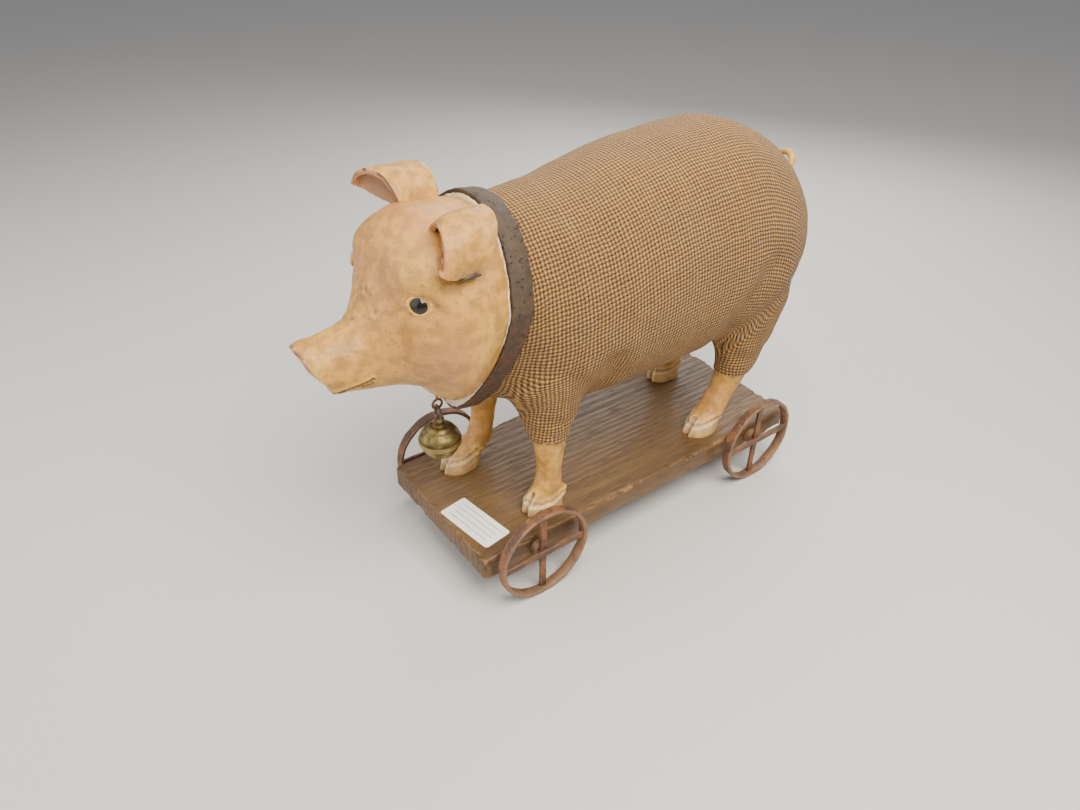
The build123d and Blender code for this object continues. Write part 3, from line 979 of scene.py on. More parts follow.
def turned(
    name: str, profile: Sequence[tuple[float, float]], middle: Point, axis: str, steps: int = 96
) -> Piece:
    """A closed profile spun round an axis.

    Args:
        name: The object's name.
        profile: Radius and place along the axis of each point, in millimetres.
        middle: The board's point that the profile is measured from.
        axis: Y or Z.
        steps: Points round the axis.

    Returns:
        The turned object.
    """
    release()
    bpy.ops.mesh.primitive_circle_add(vertices=len(profile), radius=0.01, location=(0, 0, 0))
    piece = named(name)
    centre = metres(*middle)
    rows = []
    for radius, along in profile:
        offset = (radius, along, 0.0) if axis == "Y" else (radius, 0.0, along)
        rows.append(centre + Vector(offset) * MM)
    write_points(piece, np.array(rows))
    bpy.ops.object.mode_set(mode="EDIT")
    bpy.ops.mesh.select_all(action="SELECT")
    direction = (0, 1, 0) if axis == "Y" else (0, 0, 1)
    bpy.ops.mesh.spin(steps=steps, angle=math.tau, center=centre, axis=direction)
    bpy.ops.mesh.select_all(action="SELECT")
    bpy.ops.mesh.remove_doubles(threshold=2e-6)
    bpy.ops.mesh.dissolve_degenerate(threshold=1e-6)
    bpy.ops.object.mode_set(mode="OBJECT")
    return piece


def block(name: str, middle: Point, size: Point, edge: float, cuts: int = 0) -> Piece:
    """A bevelled block.

    Args:
        name: The object's name.
        middle: Its middle in the board's millimetres.
        size: Its size.
        edge: The bevel's width.
        cuts: How often each face is divided.

    Returns:
        The block.
    """
    release()
    bpy.ops.mesh.primitive_cube_add(size=1.0, location=metres(*middle))
    piece = named(name)
    bpy.ops.transform.resize(value=tuple(s * MM for s in size))
    bpy.ops.object.transform_apply(location=True, rotation=True, scale=True)
    bpy.ops.object.mode_set(mode="EDIT")
    bpy.ops.mesh.select_all(action="SELECT")
    bpy.ops.mesh.bevel(offset=edge * MM, segments=3, affect="EDGES")
    if cuts:
        bpy.ops.mesh.select_all(action="SELECT")
        bpy.ops.mesh.subdivide(number_cuts=cuts)
    bpy.ops.object.mode_set(mode="OBJECT")
    return piece


def rope(name: str, points: Sequence[Point], radii: Sequence[float]) -> Piece:
    """A round strand that follows points, thick or thin as the radii say.

    Args:
        name: The object's name.
        points: The strand's middle line in the board's millimetres.
        radii: Its radius at each point.

    Returns:
        The strand as a mesh.
    """
    release()
    bpy.ops.curve.primitive_nurbs_path_add(location=(0, 0, 0))
    strand = bpy.context.object
    strand.name = name
    path = strand.data.splines[0]
    path.points.add(len(points) - len(path.points))
    for spot, point, radius in zip(path.points, points, radii):
        spot.co = (*metres(*point), 1.0)
        spot.radius = radius
    path.order_u = 4
    path.use_endpoint_u = True
    path.resolution_u = 8
    strand.data.bevel_depth = MM
    strand.data.bevel_resolution = 8
    strand.data.use_fill_caps = True
    only(strand)
    bpy.ops.object.convert(target="MESH")
    return named(name)


def paint_points(piece: Piece, amount: Callable[[np.ndarray], np.ndarray]) -> None:
    """Keep painted marks on a mesh: red for dark lines and painted shade, green for pink and blue for
    white.

    Args:
        piece: The object to mark.
        amount: Gives the three amounts for an array of board points.
    """
    layer = piece.data.attributes.new("paint", "FLOAT_COLOR", "POINT")
    marks = np.clip(amount(to_board(read_points(piece))), 0, 1)
    layer.data.foreach_set("color", np.column_stack([marks, np.ones(len(marks))]).ravel())


def glow(points: np.ndarray, at: Point, reach: Point, mirrored: bool = True) -> np.ndarray:
    """A soft spot's amount at each point."""
    return swell_amount(Swell(at, reach, 1.0, mirrored), points)


def line(points: np.ndarray, path: Sequence[Point], width: float, mirrored: bool = True) -> np.ndarray:
    """A soft line's amount at each point."""
    return -crease_amount(Crease(tuple(path), width, 1.0, 0.0, mirrored), points)


def pinch_throat(piece: Piece, ahead: float, behind: float) -> None:
    """Draw a form's sides in below the middle of the neck, where the throat runs to a narrow edge.

    Args:
        piece: The object to work.
        ahead: How far in front of the neck seam the pinch fades out, in millimetres.
        behind: How far behind it the pinch fades out.
    """
    points = read_points(piece)
    board = to_board(points)
    off = board[:, 0] - NECK.x - NECK.lean * (board[:, 2] - NECK.z)
    fade = np.clip(1 - np.where(off > 0, off / ahead, -off / behind), 0, 1)
    fade = fade * fade * (3 - 2 * fade)
    low = np.clip((NECK.z + 12.0 - board[:, 2]) / (NECK.tall + 12.0), 0, 1)
    points[:, 1] *= 1 - THROAT_PINCH * fade * low
    write_points(piece, points)


# ------------------------------------------------------------------ the torso's and legs' forms


THROAT_PINCH = 0.42
NECK = Ring(81.0, 0.0, 138.0, 34.0, 43.5, -0.158)

TORSO = (
    NECK,
    Ring(66.5, 0, 135.2, 37.0, 47.3),
    Ring(39.6, 0, 132.4, 43.6, 51.9),
    Ring(2.3, 0, 134.8, 48.8, 56.3),
    Ring(-38.0, 0, 137.3, 49.5, 57.5),
    Ring(-59.8, 0, 138.6, 48.0, 55.4),
    Ring(-80.0, 0, 137.1, 45.1, 49.9),
    Ring(-97.0, 0, 134.3, 37.6, 42.3),
    Ring(-110.1, 0, 131.5, 28.2, 32.5),
    Ring(-119.0, 0, 131.5, 18.6, 22.5),
    Ring(-126.0, 0, 132.0, 8.2, 10.0),
)


@dataclass(frozen=True)
class LegShape:
    """Where a leg stands and how it rises: the hoof's place, the top's place and the shares between."""

    name: str
    hoof: tuple[float, float]
    top: tuple[float, float]
    shares: tuple[tuple[float, float, float, float, float], ...]
    hem: float

    def rings(self, grow: float = 0.0) -> list[Ring]:
        """The leg's ovals from the board up."""
        out = []
        for up, forward, inward, long, wide in self.shares:
            x = self.hoof[0] + (self.top[0] - self.hoof[0]) * forward
            y = self.hoof[1] + (self.top[1] - self.hoof[1]) * inward
            out.append(
                Ring(x, y, BOARD_TOP + LEG_HEIGHT * up, HOOF_ACROSS * wide + grow, HOOF_ALONG * long + grow)
            )
        return out

    def middle(self, height: float) -> tuple[float, float]:
        """The leg's middle at a height."""
        rings = self.rings()
        zs = [ring.z for ring in rings]
        return (
            float(np.interp(height, zs, [r.x for r in rings])),
            float(np.interp(height, zs, [r.y for r in rings])),
        )


FRONT = (
    (0.0, 0.0, 0.0, 1.0, 1.0), (0.07, 0.1, 0.0, 0.95, 0.95), (0.14, 0.55, 0.0, 0.69, 0.82),
    (0.29, 0.75, 0.0, 0.59, 0.75), (0.45, 0.80, 0.1, 0.79, 0.95), (0.60, 0.90, 0.5, 1.15, 1.25),
    (0.78, 1.0, 0.9, 1.62, 1.50), (1.0, 1.0, 1.0, 1.70, 1.25),
)
HIND = (
    (0.0, 0.0, 0.0, 1.0, 1.0), (0.07, 0.10, 0.0, 0.95, 0.95), (0.16, 0.38, 0.0, 0.74, 0.88),
    (0.30, 0.68, 0.0, 0.81, 0.94), (0.45, 0.90, 0.0, 1.15, 1.15), (0.59, 1.02, 0.3, 1.80, 1.45),
    (0.78, 1.08, 0.7, 2.42, 1.80), (1.0, 1.05, 1.0, 2.60, 1.75),
)
LEGS = (
    LegShape("front_left", (60.0, 28.0), (56.0, 24.0), FRONT, FRONT_HEM),
    LegShape("front_right", (76.0, -24.0), (56.0, -24.0), FRONT, FRONT_HEM),
    LegShape("hind_left", (-50.0, 28.0), (-74.0, 24.0), HIND, HIND_HEM),
    LegShape("hind_right", (-72.0, -25.0), (-74.0, -24.0), HIND, HIND_HEM),
)


# ------------------------------------------------------------------ the burlap jacket


@dataclass
class Jacket:
    """The burlap that is pulled over the torso and the tops of the legs, as one stretched cloth."""

    thickness: float = 1.4
    voxel: float = 1.5
    leg_reach: float = 1.06
    leg_fade: float = 0.20
    leg_below: float = 112.0
    sleeve_down: float = 108.0
    sleeve_height: float = 100.0
    marks: tuple[Swell | Crease, ...] = (
        Crease(((-47, 50, 92), (-44, 50, 105), (-50, 51, 122), (-62, 49, 136)), 7.0, 1.5, 0.5),
        Crease(((34, 38, 88), (30, 44, 99), (33, 45, 112)), 5.5, 1.3, 0.5),
        Swell((56, 36, 112), (17, 14, 20), 1.8),
        Swell((-76, 42, 112), (20, 14, 24), 1.6),
        Swell((72, 30, 100), (10, 12, 10), 0.9),
        Crease(((46, 40, 86), (55, 42, 84), (66, 38, 88)), 2.6, 0.7, 0.4),
        Crease(((44, 36, 80), (56, 40, 78), (68, 34, 82)), 2.2, 0.5, 0.3),
        Crease(((-60, 40, 77), (-72, 43, 74), (-88, 38, 78)), 3.0, 0.7, 0.4),
    )

    def form(self) -> Piece:
        """The torso and the legs' tops as one skin, smooth where they meet."""
        torso = loft(
            "burlap", [r.grown(self.thickness) for r in between_rings(TORSO, 90)], Facing.FORWARD, 128
        )
        legs = [
            loft(
                f"burlap_{leg.name}", between_rings(leg.rings(self.thickness), 50), Facing.UP, 64
            ) for leg in LEGS
        ]
        piece = join("burlap", [torso, *legs])
        apply_modifier(piece, "REMESH", mode="VOXEL", voxel_size=self.voxel * MM)
        apply_modifier(piece, "SMOOTH", factor=0.5, iterations=10)
        self.soften(piece)
        return piece

    def soften(self, piece: Piece) -> None:
        """Ease the skin only where a leg meets the torso."""
        points = read_points(piece)
        board = to_board(points)
        weight = np.exp(-(((board[:, 2] - 92) / 16.0) ** 2))
        group = piece.vertex_groups.new(name="joins")
        for i, value in enumerate(weight):
            if value > 0.02:
                group.add([i], float(value), "REPLACE")
        apply_modifier(piece, "SMOOTH", factor=0.6, iterations=40, vertex_group="joins")

    def cut(self, piece: Piece) -> None:
        """Trim the skin at the neck seam and just under each hem, and open it there."""
        only(piece)
        bpy.ops.object.mode_set(mode="EDIT")
        bpy.ops.mesh.select_all(action="SELECT")
        normal = Vector((1.0, 0.0, -NECK.lean)).normalized()
        bpy.ops.mesh.bisect(plane_co=metres(NECK.x, 0, NECK.z), plane_no=normal, clear_outer=True)
        bpy.ops.object.mode_set(mode="OBJECT")
        board = to_board(read_points(piece))
        keep_above = np.where(board[:, 0] > 0, FRONT_HEM, HIND_HEM)
        ragged = np.array([noise.noise(Vector(p) * 0.35) for p in board]) * 0.9
        doomed = board[:, 2] < keep_above + ragged
        mesh = bmesh.new()
        mesh.from_mesh(piece.data)
        mesh.verts.ensure_lookup_table()
        bmesh.ops.delete(mesh, geom=[mesh.verts[i] for i in np.flatnonzero(doomed)], context="VERTS")
        mesh.to_mesh(piece.data)
        mesh.free()

    def unwrap(self, piece: Piece) -> tuple[float, float, float]:
        """Give the cloth a UV in metres: along the pig or round the leg, and down from the spine."""
        mesh = piece.data
        board = to_board(read_points(piece))
        rings = between_rings(TORSO, 120)[::-1]
        xs = np.array([r.x for r in rings])
        tall = np.interp(board[:, 0], xs, [r.tall for r in rings])
        wide = np.interp(board[:, 0], xs, [r.across for r in rings])
        middle = np.interp(board[:, 0], xs, [r.z for r in rings])
        mean = np.array([(r.tall + r.across) / 2 for r in rings])
        run = np.concatenate([[0], np.cumsum(np.hypot(np.diff(xs), np.diff(mean)))])
        lengthwise = np.interp(board[:, 0], xs, run)
        up = (board[:, 2] - middle) / tall
        out = board[:, 1] / wide
        turn = np.arctan2(np.abs(out), up)
        down = turn * (tall + wide) / 2
        reach = np.hypot(up, out)
        weight = np.clip((reach - self.leg_reach) / self.leg_fade, 0, 1) * (board[:, 2] < self.leg_below)
        weight = weight * weight * (3 - 2 * weight)
        leg_down = self.sleeve_down + (self.sleeve_height - board[:, 2])
        down = down * (1 - weight) + leg_down * weight
        around = np.zeros(len(board))
        radius = np.zeros(len(board))
        start = np.zeros(len(board))
        for leg in LEGS:
            centres = leg.rings()
            zs = [r.z for r in centres]
            cx = np.interp(board[:, 2], zs, [r.x for r in centres])
            cy = np.interp(board[:, 2], zs, [r.y for r in centres])
            r = np.interp(board[:, 2], zs, [(q.tall + q.across) / 2 for q in centres])
            side = math.copysign(1, leg.hoof[1])
            mine = (np.sign(board[:, 1]) == side) & ((board[:, 0] > 0) == (leg.hoof[0] > 0))
            angle = np.arctan2(board[:, 0] - cx, side * (board[:, 1] - cy))
            around[mine], radius[mine] = angle[mine], r[mine]
            start[mine] = np.interp(cx, xs, run)[mine]
        corner = np.empty(len(mesh.loops), dtype=int)
        mesh.loops.foreach_get("vertex_index", corner)
        starts = np.array([p.loop_start for p in mesh.polygons])
        totals = np.array([p.loop_total for p in mesh.polygons])
        faces = np.repeat(np.arange(len(starts)), totals)
        first = corner[starts][faces]
        side = np.where(np.add.reduceat(board[corner, 1], starts) >= 0, 1.0, -1.0)[faces]
        angle = around[corner]
        angle = angle + np.round((around[first] - angle) / math.tau) * math.tau
        u_leg = start[corner] + radius[corner] * angle
        near_spine = (np.add.reduceat(up[corner], starts) > 0)[faces]
        signed = np.where(near_spine, np.sign(board[corner, 1] + 1e-9), side)
        u = lengthwise[corner] * (1 - weight[corner]) + u_leg * weight[corner]
        v = down[corner] * signed
        layer = mesh.uv_layers.new(name="cloth")
        layer.data.foreach_set("uv", (np.column_stack([u, v]) * MM).ravel())
        return self.laid_flat(u, v, starts, totals)

    @staticmethod
    def laid_flat(
        u: np.ndarray, v: np.ndarray, starts: np.ndarray, totals: np.ndarray
    ) -> tuple[float, float, float]:
        """Measure the cut, as the cloth's own flat layout gives it.

        Args:
            u: Each face corner's place along the body in the layout, in millimetres.
            v: Each face corner's place round the body in the layout.
            starts: Where each face's corners begin.
            totals: How many corners each face has.

        Returns:
            The width round the body, the length along it and the area, in metres and square metres.
        """
        after = np.arange(len(u)) + 1
        after[starts + totals - 1] = starts
        area = np.abs(np.add.reduceat(u * v[after] - u[after] * v, starts)).sum() / 2
        return (float(np.ptp(v)) * MM, float(np.ptp(u)) * MM, float(area) * MM * MM)

    def build(self) -> Piece:
        piece = self.form()
        pinch_throat(piece, 12.0, 30.0)
        self.cut(piece)
        sculpt(piece, self.marks)
        roughen(piece, 16.0, 0.5, 3.0)
        roughen(piece, 5.0, 0.22, 9.0)
        width, length, area = self.unwrap(piece)
        made = sum(p.area for p in piece.data.polygons)
        apply_modifier(piece, "SOLIDIFY", thickness=0.9 * MM, offset=-1.0)
        settle(piece, 60.0)
        names = ["burlap_jacket"] + [f"{leg.name}_sleeve" for leg in LEGS]
        dress(piece, Finishes.BURLAP, "burlap", "figure", *names)
        LOG.info(
            "cloth cut %.4f by %.4f m, flat area %.5f m2, made area %.5f m2", width, length, area, made
        )
        return piece


@dataclass
class Casting:
    """The unpainted casting of the body, which the burlap hides."""

    inset: float = -0.6
    deeper: float = 3.0
    deeper_from: float = 60.0
    deeper_over: float = 30.0
    rear: float = -112.0

    def build(self) -> Piece:
        """Loft the body just inside the cloth and dress it."""
        rings = [
            ring.grown(
                self.inset - self.deeper * min(
                    max((self.deeper_from - ring.x) / self.deeper_over, 0.0), 1.0
                )
            )
            for ring in between_rings(TORSO, 60)
            if ring.x > self.rear
        ]
        piece = loft("cast_body", rings, Facing.FORWARD, 96)
        settle(piece, 80.0)
        pinch_throat(piece, 12.0, 30.0)
        return dress(piece, Finishes.CASTING, "cast_resin", "figure", "torso")


# ------------------------------------------------------------------ the legs


@dataclass
class Leg:
    """One painted leg: a cloven hoof, dewclaws, a bony pastern and the upright up into the sleeve."""

    shape: LegShape
    segments: int = 72
    rows: int = 110
    tuck: float = 5.0
    tuck_above: float = 3.0
    tuck_over: float = 14.0

    def marks(self) -> list[Swell | Crease]:
        """The hoof's cleft, the ridge above it, the dewclaws and the bones."""
        x, y = self.shape.hoof
        ring = [
            (
                x + 9.4 * math.cos(a), y + 7.4 * math.sin(a), 39.6 - 1.6 * math.cos(a)
            ) for a in np.linspace(0, math.tau, 25)
        ]
        mid = self.shape.middle(58.0)
        ankle = self.shape.middle(46.0)
        return [
            Crease(((x + 12, y, 30), (x + 10.5, y, 35), (x + 6.5, y, 41.5)), 1.0, 1.7, 0.35, False),
            Crease(tuple(ring), 0.8, 0.75, 0.6, False),
            Swell((x + 9, y + 4, 33), (5, 4, 4), 0.8, False),
            Swell((x + 9, y - 4, 33), (5, 4, 4), 0.8, False),
            Swell((x - 8.0, y + 3.6, 41.5), (2.6, 2.4, 2.8), 2.3, False),
            Swell((x - 8.0, y - 3.6, 41.5), (2.6, 2.4, 2.8), 2.3, False),
            Swell((ankle[0] + 3, ankle[1], 47), (5, 6, 4.5), 0.7, False),
            Crease(((mid[0] - 3, mid[1] + 6, 70), (mid[0] - 2, mid[1] + 6, 50)), 1.4, 0.45, 0.3, False),
            Crease(((mid[0] - 3, mid[1] - 6, 70), (mid[0] - 2, mid[1] - 6, 50)), 1.4, 0.45, 0.3, False),
            Swell((mid[0] + 4, mid[1] + 2, 66), (4, 4, 7), 0.8, False),
        ]

    def build(self) -> Piece:
        """Loft the leg, sculpt it, mark its paint and dress it."""
        rings = [
            ring.grown(
                -self.tuck * min(
                    max((ring.z - self.shape.hem - self.tuck_above) / self.tuck_over, 0.0), 1.0
                )
            )
            for ring in between_rings(self.shape.rings(), self.rows)
        ]
        piece = loft(f"{self.shape.name}_cast_leg", rings, Facing.UP, self.segments)
        settle(piece, 70.0)
        sculpt(piece, self.marks())
        roughen(piece, 6.0, 0.45, 2.0 + self.shape.hoof[0])
        roughen(piece, 2.0, 0.16, 5.0)
        points = read_points(piece)
        points[:, 2] = np.maximum(points[:, 2], BOARD_TOP * MM)
        write_points(piece, points)
        x, y = self.shape.hoof
        cleft = [(x + 12, y, 30), (x + 10.5, y, 35), (x + 6.5, y, 41.5)]

        def marks(at: np.ndarray) -> np.ndarray:
            """Painted shade in the hoof's cleft and along the foot where it meets the board, the pink bones
            and the pale hoof.
            """
            # Dark: painted shade in the cleft and a painted contact shadow at the board.
            dark = 0.8 * line(at, cleft, 0.7, False) + 0.5 * np.exp(-((at[:, 2] - BOARD_TOP) / 0.8) ** 2)
            pink = 0.30 * np.exp(
                -(((at[:, 2] - 52) / 5.0) ** 2)
            ) + 0.15 * np.exp(-(((at[:, 2] - 70) / 6.0) ** 2))
            white = 0.20 * np.exp(-(((at[:, 2] - 36) / 4.0) ** 2))
            return np.column_stack([dark, pink, white])

        paint_points(piece, marks)
        return dress(piece, Finishes.PAINT, "painted_resin", "figure", f"{self.shape.name}_leg")


# ------------------------------------------------------------------ the head


MOUTH = ((152, 7.5, 121.6), (146, 10.4, 123.0), (139, 13.2, 124.4), (135.0, 15.0, 125.8))


@dataclass
class Head:
    """The painted head: one casting from the neck rim to the snout, with sockets, mouth and nostrils."""

    nodes: tuple[str, ...] = ("head", "snout")
    stations: tuple[Ring, ...] = (
        Ring(81.0, 0, 138.0, 36.5, 46.0, -0.158),
        Ring(97.0, 0, 145.0, 39.5, 41.0, -0.20),
        Ring(110.0, 0, 149.3, 35.4, 37.2, -0.05),
        Ring(118.0, 0, 147.0, 30.0, 32.3, 0.0),
        Ring(125.0, 0, 139.2, 21.1, 22.9, 0.03),
        Ring(133.0, 0, 133.3, 14.7, 15.7, 0.10),
        Ring(145.0, 0, 132.2, 12.0, 12.9, 0.25),
        Ring(153.6, 0, 132.1, 10.9, 11.9, 0.54),
    )
    front: tuple[tuple[float, float], ...] = (
        (0.5, 10.9), (0.9, 10.5), (1.15, 9.7), (1.2, 8.6), (1.2, 7.4), (1.2, 6.2), (1.2, 5.0), (1.2, 3.8),
        (1.2, 2.6), (1.2, 1.4), (1.2, 0.5),
    )
    marks: tuple[Swell | Crease, ...] = (
        Swell((119, 27.0, 160.4), (6.0, 6.0, 5.0), -0.4),
        Swell((117, 24, 171.5), (11, 11, 6.5), 1.5),
        Swell((114, 18, 171.0), (15, 14, 11), 1.2),
        Crease(((124, 22.5, 158.5), (128, 17.5, 155.5)), 1.2, 0.35, 0.2),
        Swell((112, 33, 137), (12, 9, 15), 2.2),
        Swell((100, 34, 122), (13, 12, 14), 1.6),
        Crease(MOUTH, 0.8, 1.6, 0.4),
        Swell((133.0, 15.9, 126.6), (2.6, 2.6, 2.2), -0.8),
        Swell((127.5, 20.0, 125.0), (5.0, 5.0, 6.0), 0.8),
        Swell((136, 9, 121.5), (12, 6, 4), 0.8),
        Crease(((128.5, 0, 160.0), (129.0, 6, 158.0), (130.0, 10, 154.0)), 1.1, 0.55, 0.3),
        Crease(((134.5, 0, 149.5), (135.0, 8, 147.0), (135.5, 11.5, 143.5)), 1.2, 0.35, 0.2),
        Crease(((140.5, 0, 147.0), (141.0, 7, 145.0), (141.5, 10.5, 141.0)), 1.1, 0.25, 0.15),
        Swell((154.5, 8, 139), (3.0, 7, 7), 0.8),
        Swell((155.5, 4.1, 134.0), (6.0, 1.9, 3.0), -3.4),
        Swell((160.0, 3.6, 142.5), (2.4, 2.4, 2.2), -1.1),
    )

    def rings(self) -> list[Ring]:
        """All the head's ovals, the smooth run and then the rounded snout disc."""
        rings = between_rings(self.stations, 150)
        x = self.stations[-1].x
        last = self.stations[-1]
        for step, size in self.front:
            x += step * 0.15
            rings.append(Ring(x, 0, last.z, size, size * last.tall / last.across, last.lean))
        return rings

    def build(self) -> Piece:
        """Loft the head, sculpt it, mark its paint and dress it."""
        piece = loft("cast_head", self.rings(), Facing.FORWARD, 160)
        settle(piece, 80.0)
        sculpt(piece, self.marks)
        roughen(piece, 9.0, 0.35, 4.0)
        roughen(piece, 2.2, 0.14, 8.0)
        self.rim(piece)
        pinch_throat(piece, 22.0, 10.0)
        paint_points(piece, self.painted)
        return dress(piece, Finishes.PAINT, "painted_resin", "figure", *self.nodes)

    def rim(self, piece: Piece) -> None:
        """Make the casting's rear rim wavy, as the cloth was tucked in against it by hand."""
        points = read_points(piece)
        board = to_board(points)
        near = np.clip(1 - (board[:, 0] - NECK.x - NECK.lean * (board[:, 2] - NECK.z)) / 4.0, 0, 1)
        wave = np.array([noise.noise(Vector(p) * 0.16) for p in board])
        points[:, 0] += near * wave * 1.1 * MM
        write_points(piece, points)

    def painted(self, at: np.ndarray) -> np.ndarray:
        """Dark eye rims, mouth and nostrils; painted shade under each ear's lower edge and in the wrinkle
        across the snout's top; pink forehead, cheek and snout; white rear rim.
        """
        lids = [(112.5, 31, 160.3), (115, 30.0, 164.3), (119.5, 27.5, 165.0), (123.5, 24, 161.8)]
        lower = [(112.5, 31, 160.3), (117.5, 28.5, 156.2), (123.5, 24, 161.0)]
        dark = 1.0 * line(at, MOUTH, 0.8) + 0.40 * line(at, lids, 1.1) + 0.20 * line(at, lower, 1.0)
        dark += 0.8 * glow(
            at, (133.0, 15.9, 126.6), (1.6, 2.4, 1.3)
        ) + 0.95 * glow(at, (155, 4.1, 134.0), (6, 1.7, 2.6))
        # Painted shade: the shadow under each ear's lower edge on the side of the head.
        dark += 1.6 * glow(at, (100.5, 35.0, 171.0), (5.0, 5.0, 1.8))
        # Painted shade in the wrinkle across the top of the snout.
        dark += 0.5 * glow(at, (129.5, 2.0, 157.5), (1.5, 3.0, 1.5))
        dark += 0.8 * glow(at, (160.0, 3.6, 142.8), (2.2, 2.2, 1.8))
        pink = 0.75 * glow(at, (104, 12, 184), (14, 14, 12)) + 0.8 * glow(at, (112, 36, 140), (10, 10, 12))
        pink += 0.6 * glow(at, (122, 10, 166), (9, 12, 10)) + 0.8 * glow(
            at, (160, 0, 136), (4, 12, 12), False
        )
        pink += 0.5 * glow(at, (96, 36, 118), (14, 12, 14))
        behind = at[:, 0] - NECK.x - NECK.lean * (at[:, 2] - NECK.z)
        ragged = np.array([noise.noise(Vector(p) * 0.45) for p in at])
        white = np.clip((3.4 + 2.0 * ragged - behind) / 1.2, 0, 1) * 0.85
        return np.column_stack([dark, pink, white])


@dataclass
class Eye:
    """A glossy bead in its socket."""

    side: Side
    middle: Point = (116.4, 24.8, 160.2)
    facing: Point = (0.66, 0.70, 0.27)
    diameter: float = 9.0

    def build(self) -> Piece:
        """Add the bead and dress it."""
        release()
        x, y, z = self.middle
        bpy.ops.mesh.primitive_uv_sphere_add(
            segments=48, ring_count=32, radius=self.diameter / 2 * MM, location=metres(
                x, y * self.side.value, z
            )
        )
        piece = settle(named(f"{self.side.word}_bead"), 80.0)
        self.lids()
        return dress(piece, Finishes.BEAD, "eye_glass", "figure", f"{self.side.word}_eye")

    def lids(self) -> Piece:
        """The rolled lids: an almond ring that holds the bead, thicker above."""
        release()
        facing = Vector((self.facing[0], self.facing[1] * self.side.value, self.facing[2])).normalized()
        x, y, z = self.middle
        spot = metres(x, y * self.side.value, z) + facing * 2.4 * MM
        bpy.ops.mesh.primitive_torus_add(
            major_segments=64,
            minor_segments=20,
            major_radius=3.9 * MM,
            minor_radius=0.75 * MM,
            location=(0, 0, 0),
        )
        piece = named(f"{self.side.word}_lids")
        points = read_points(piece)
        reach = np.hypot(points[:, 0], points[:, 1])
        corner = np.abs(points[:, 0]) / reach
        points[:, 0] *= 1 + 0.16 * corner ** 4
        points[:, 1] *= 0.94
        points[:, 2] *= 1 + 0.25 * (points[:, 1] > 0)
        write_points(piece, points)
        piece.rotation_euler = facing.to_track_quat("Z", "Y").to_euler()
        piece.location = spot
        settle(piece, 80.0)
        roughen(piece, 1.4, 0.18, 3.0)
        return dress(piece, Finishes.PAINT, "painted_resin", "figure")


